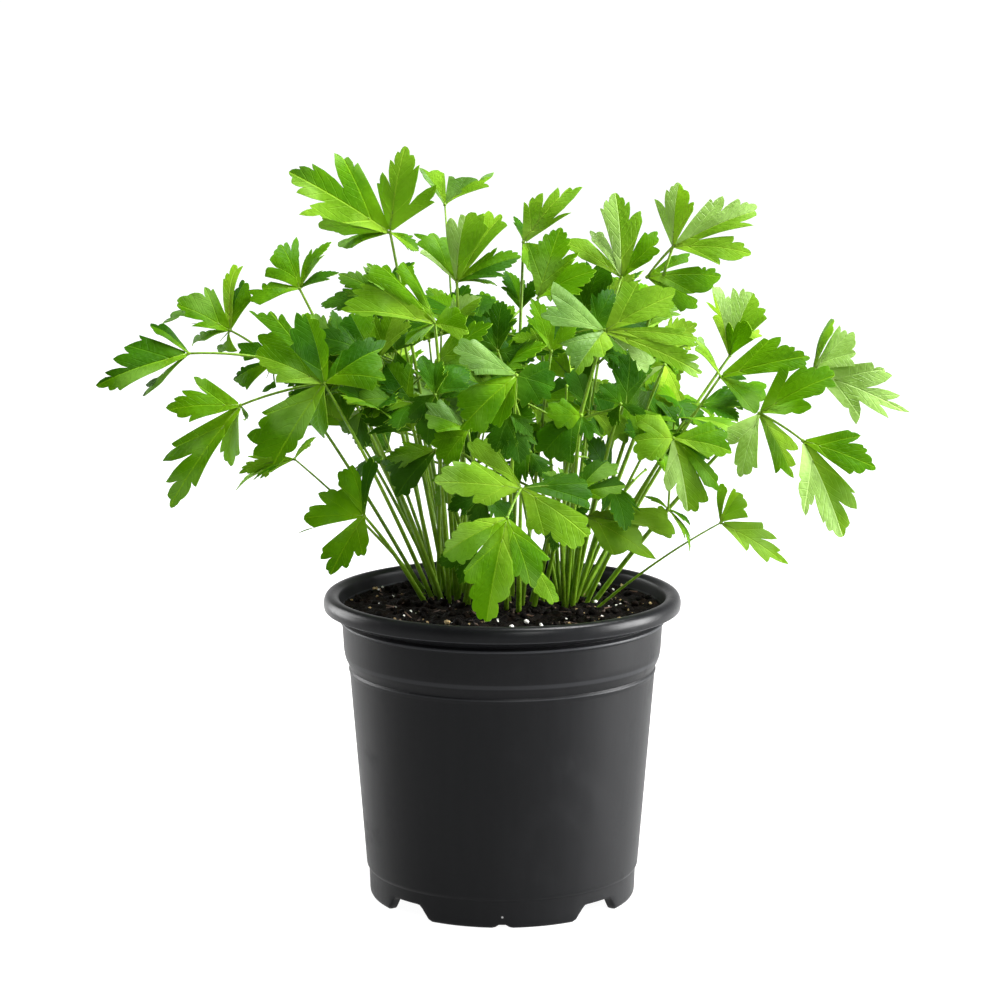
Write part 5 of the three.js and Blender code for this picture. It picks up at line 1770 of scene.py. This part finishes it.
# %% Stem finish
def stem_finish():
    """Juicy green with light streaks along the stem."""
    finish = new_finish("stem_green")
    place = finish.place()
    stretched = finish.node("Mapping", inputs={0: place, 3: (900, 900, 40)})
    streaks = finish.noise(stretched, 1.0, 2.0).ramp(0.3, 0.7)
    patches = finish.noise(place, 30, 2.0).ramp(0.35, 0.65)
    colour = finish.blend(patches, (0.048, 0.11, 0.002), (0.096, 0.185, 0.008))
    colour = finish.blend(streaks * 0.4, colour, (0.17, 0.28, 0.025))
    bump = finish.bump(streaks, 0.12 * MM)
    blade = finish.surface(colour, 0.33 + streaks * 0.12, bump, Specular_IOR_Level=0.12)
    through = finish.node("BsdfTranslucent", inputs={"Color": (0.45, 0.7, 0.05)})
    return finish.done(finish.node("MixShader", inputs={0: 0.12, 1: blade, 2: through}))


stem_green = stem_finish()
for stem in stems:
    for material in (leaf_tops[0], leaf_under, stem_green, *leaf_tops[1:]):
        stem.data.materials.append(material)
print("leafy stems have", len(stems[0].data.materials), "finishes each")

# %% [markdown]
# ## The pot's plastic
# Nursery pots are polypropylene coloured with carbon black, moulded against slightly
# matted steel. So the plastic is satin, not glossy: a fine grain, faint flow marks from top
# to bottom and dull smudges from handling and dried water. Thin grey lines along some ridges
# are painted highlights.

# %% Black plastic
# Edges with painted highlights, thin light grey lines: their height, half width and share of grey.
PAINTED_HIGHLIGHT_EDGES = [[101.4, 0.4, 0.6], [107.4, 1.3, 0.5], [122.9, 0.7, 1], [128.0, 0.5, 0.8]]
SMEAR = (-0.013, -0.058, 0.019)  # a dull smear low on the front
GATE = (0, -0.0585, 0.0052)  # the pale spot where the plastic was let into the mould


def pot_finish():
    """Satin black with grain, flow marks, smudges and painted highlight lines on edges."""
    finish = new_finish("black_polypropylene")
    place = finish.place()
    grain = finish.noise(place, 2600, 2.0)
    flow_place = finish.node("Mapping", inputs={0: place, 3: (260, 260, 18)})
    flow = finish.noise(flow_place, 1.0, 3.0)
    smudges = finish.noise(place, 38, 5.0, 0.62).ramp(0.52, 0.72)
    height = finish.node("SeparateXYZ", inputs={0: place}).other("Z")
    rim = height.ramp(0.124, 0.129)
    colour = finish.blend(flow * 0.6 + smudges * 0.4, (0.0028, 0.003, 0.0034),
                          (0.0056, 0.0058, 0.0064))
    # Light grey lines along these edges are painted highlights.
    painted_highlight = 0
    for level, half_width, share in PAINTED_HIGHLIGHT_EDGES:
        band = (height - level * MM).size().ramp(half_width * 0.4 * MM, half_width * MM)
        painted_highlight = (1 - band) * share + painted_highlight
    colour = finish.blend(painted_highlight, colour, (0.022, 0.023, 0.025))
    smear = finish.near(place, SMEAR, 0.004, 0.019)
    colour = finish.blend(smear * smudges.ramp(0, 0.5) * 0.6, colour, (0.001, 0.001, 0.0012))
    gate = finish.near(place, GATE, 0.0003, 0.0006)
    colour = finish.blend(gate, colour, (0.25, 0.25, 0.25))
    flat = finish.node("VectorMath", {"operation": "MULTIPLY"}, {0: place, 1: (1, 1, 0)})
    radius = finish.node("VectorMath", {"operation": "LENGTH"}, {0: flat}, 1)
    inside = (1 - radius.ramp(0.0706, 0.0716)) * height.ramp(0.1262, 0.1268)
    roughness = 0.4 + flow * 0.06 + smudges * 0.13 - rim * 0.12 + inside * 0.5
    bump = finish.bump(grain * 0.3 + flow * 0.7, 0.06 * MM)
    return finish.done(finish.surface(colour, roughness, bump, Specular_IOR_Level=0.09))


pot.data.materials.append(pot_finish())
print("the pot has", len(PAINTED_HIGHLIGHT_EDGES), "worn edges")

# %% [markdown]
# ## Soil, perlite, grit and bark
# Damp peat is nearly black where it is wet and brown where a crumb has dried. Fibres glint a
# little. Perlite is dull white and grit tan, both with painted shade in their pits, and bark
# is reddish brown along its grain.

# %% Finishes in the pot
def soil_finish():
    """Nearly black peat with brown dry crumbs."""
    finish = new_finish("damp_peat")
    place = finish.place()
    crumbs = finish.noise(place, 520, 5.0, 0.7)
    dry = finish.noise(place, 170, 4.0, 0.6).ramp(0.5, 0.72)
    colour = finish.blend(crumbs.ramp(0.35, 0.7), (0.0004, 0.0003, 0.0002),
                          (0.0045, 0.003, 0.0018))
    colour = finish.blend(dry * 0.25, colour, (0.026, 0.015, 0.008))
    bump = finish.bump(crumbs, 1.4 * MM)
    roughness = 0.62 + dry * 0.3
    return finish.done(finish.surface(colour, roughness, bump, Specular_IOR_Level=0.04))


def lump_finish(name, shade, light, painted_pit_shade):
    """A dull mineral in two tones, with painted shade in its pits."""
    finish = new_finish(name)
    place = finish.place()
    cells = finish.node("TexVoronoi", {}, {"Vector": place, "Scale": 2200})
    patches = finish.noise(place, 260, 3.0).ramp(0.3, 0.7)
    colour = finish.blend(patches, shade, light)
    # The pits, low in the bump, get a darker colour: painted shade.
    colour = finish.blend((1 - cells.ramp(0.1, 0.45)) * 0.5, colour, painted_pit_shade)
    bump = finish.bump(cells, 0.25 * MM)
    return finish.done(finish.surface(colour, 0.75 + patches * 0.15, bump))


def bark_finish():
    """Reddish brown bark with pale fibres."""
    finish = new_finish("bark_brown")
    place = finish.place()
    fibres = finish.noise(place, 1400, 3.0, 0.6)
    pieces = finish.noise(place, 60, 1.0).ramp(0.4, 0.6)
    colour = finish.blend(pieces, (0.022, 0.011, 0.006), (0.075, 0.038, 0.02))
    colour = finish.blend(fibres.ramp(0.45, 0.7) * 0.5, colour, (0.14, 0.085, 0.05))
    bump = finish.bump(fibres, 0.3 * MM)
    return finish.done(finish.surface(colour, 0.7 + fibres * 0.2, bump))


soil.data.materials.append(soil_finish())
crumbs.data.materials.append(soil.data.materials[0])
perlite.data.materials.append(lump_finish("perlite_white", (0.65, 0.63, 0.58),
                                          (0.88, 0.87, 0.83), (0.4, 0.38, 0.34)))
grit.data.materials.append(lump_finish("grit_tan", (0.22, 0.15, 0.06),
                                       (0.48, 0.36, 0.17), (0.09, 0.055, 0.02)))
bark.data.materials.append(bark_finish())
print(len(bpy.data.materials), "finishes in all")

# %% [markdown]
# ## Floor, light and camera
# The plant stands on a pale floor that runs on to a white horizon. A wide soft lamp above
# and to the right does most of the work and one over the camera softens it. Two low ones
# light the sides of the pot, a strong one on the right and a weak one behind on the left.
# The white sky fills the rest. The camera stands where the pot's ellipses say: 1.3 m off and
# looking 9.8 degrees down.

# %% Floor
def floor_finish():
    """A matt floor that is lit nearly white and still takes a shadow."""
    finish = new_finish("pale_floor")
    place = finish.place()
    dust = finish.noise(place, 900, 3.0)
    colour = finish.blend(dust, (0.12, 0.12, 0.12), (0.14, 0.14, 0.14))
    bump = finish.bump(dust, 0.05 * MM)
    return finish.done(finish.surface(colour, 0.6 + dust * 0.1, bump,
                                      Emission_Color=(1, 1, 1), Emission_Strength=0.97))


bm = bmesh.new()
bmesh.ops.create_grid(bm, x_segments=1, y_segments=1, size=12)
floor = bpy.data.objects.new("floor", mesh_of(bm, "floor"))
floor.data.materials.append(floor_finish())
bpy.context.scene.collection.objects.link(floor)
print("floor", round(floor.dimensions.x), "m wide")

# %% Lights and sky
AIM = Vector((0, 0, 0.18))


def soft_lamp(name, place, power, width, height):
    """A rectangular lamp that shines at the plant."""
    light = bpy.data.lights.new(name, "AREA")
    light.shape = "RECTANGLE"
    light.energy = power
    light.size = width
    light.size_y = height
    lamp = bpy.data.objects.new(name, light)
    lamp.location = place
    lamp.rotation_euler = (Vector(place) - AIM).to_track_quat("Z", "Y").to_euler()
    bpy.context.scene.collection.objects.link(lamp)


soft_lamp("key_lamp", (0.7, 0.1, 1.9), 165, 0.8, 0.8)
soft_lamp("front_lamp", (0.7, -1.9, 1.5), 38, 0.7, 0.7)
soft_lamp("right_lamp", (1.6, 0.0, 0.35), 160, 0.9, 1.2)
soft_lamp("left_lamp", (-1.4, 0.9, 0.4), 40, 0.9, 1.2)


def studio_sky():
    """A sky that is white along the horizon and dim overhead, as in a studio."""
    sky = Finish(bpy.data.worlds.new("studio_sky"))
    way = sky.node("TexCoord", output="Generated")
    height = sky.node("SeparateXYZ", inputs={0: way}).other("Z")
    strength = 1.04 - height.ramp(0.12, 0.4) * 0.74
    glow = sky.node("Background", inputs={"Color": (1, 1, 1), "Strength": strength})
    sky.node("OutputWorld", inputs={"Surface": glow})
    return sky.owner


bpy.context.scene.world = studio_sky()
bpy.context.scene.view_settings.view_transform = "Standard"
print(len(bpy.data.lights), "lamps and a sky")

# %% Camera
LOOK_DOWN = 9.8
SENSOR_WIDTH = 36
FOCAL_LENGTH = 111.1
CAMERA_SHIFT = Vector((-0.001, 0, 0))  # the pot stands a little right of the middle
lens = bpy.data.cameras.new("photo_camera")
lens.sensor_width = SENSOR_WIDTH
lens.lens = FOCAL_LENGTH
camera = bpy.data.objects.new("photo_camera", lens)
camera.location = EYE + CAMERA_SHIFT
camera.rotation_euler = (math.radians(90 - LOOK_DOWN), 0, 0)
bpy.context.scene.collection.objects.link(camera)
bpy.context.scene.camera = camera
print("camera", [round(c, 3) for c in camera.location], "looks down", LOOK_DOWN, "degrees")
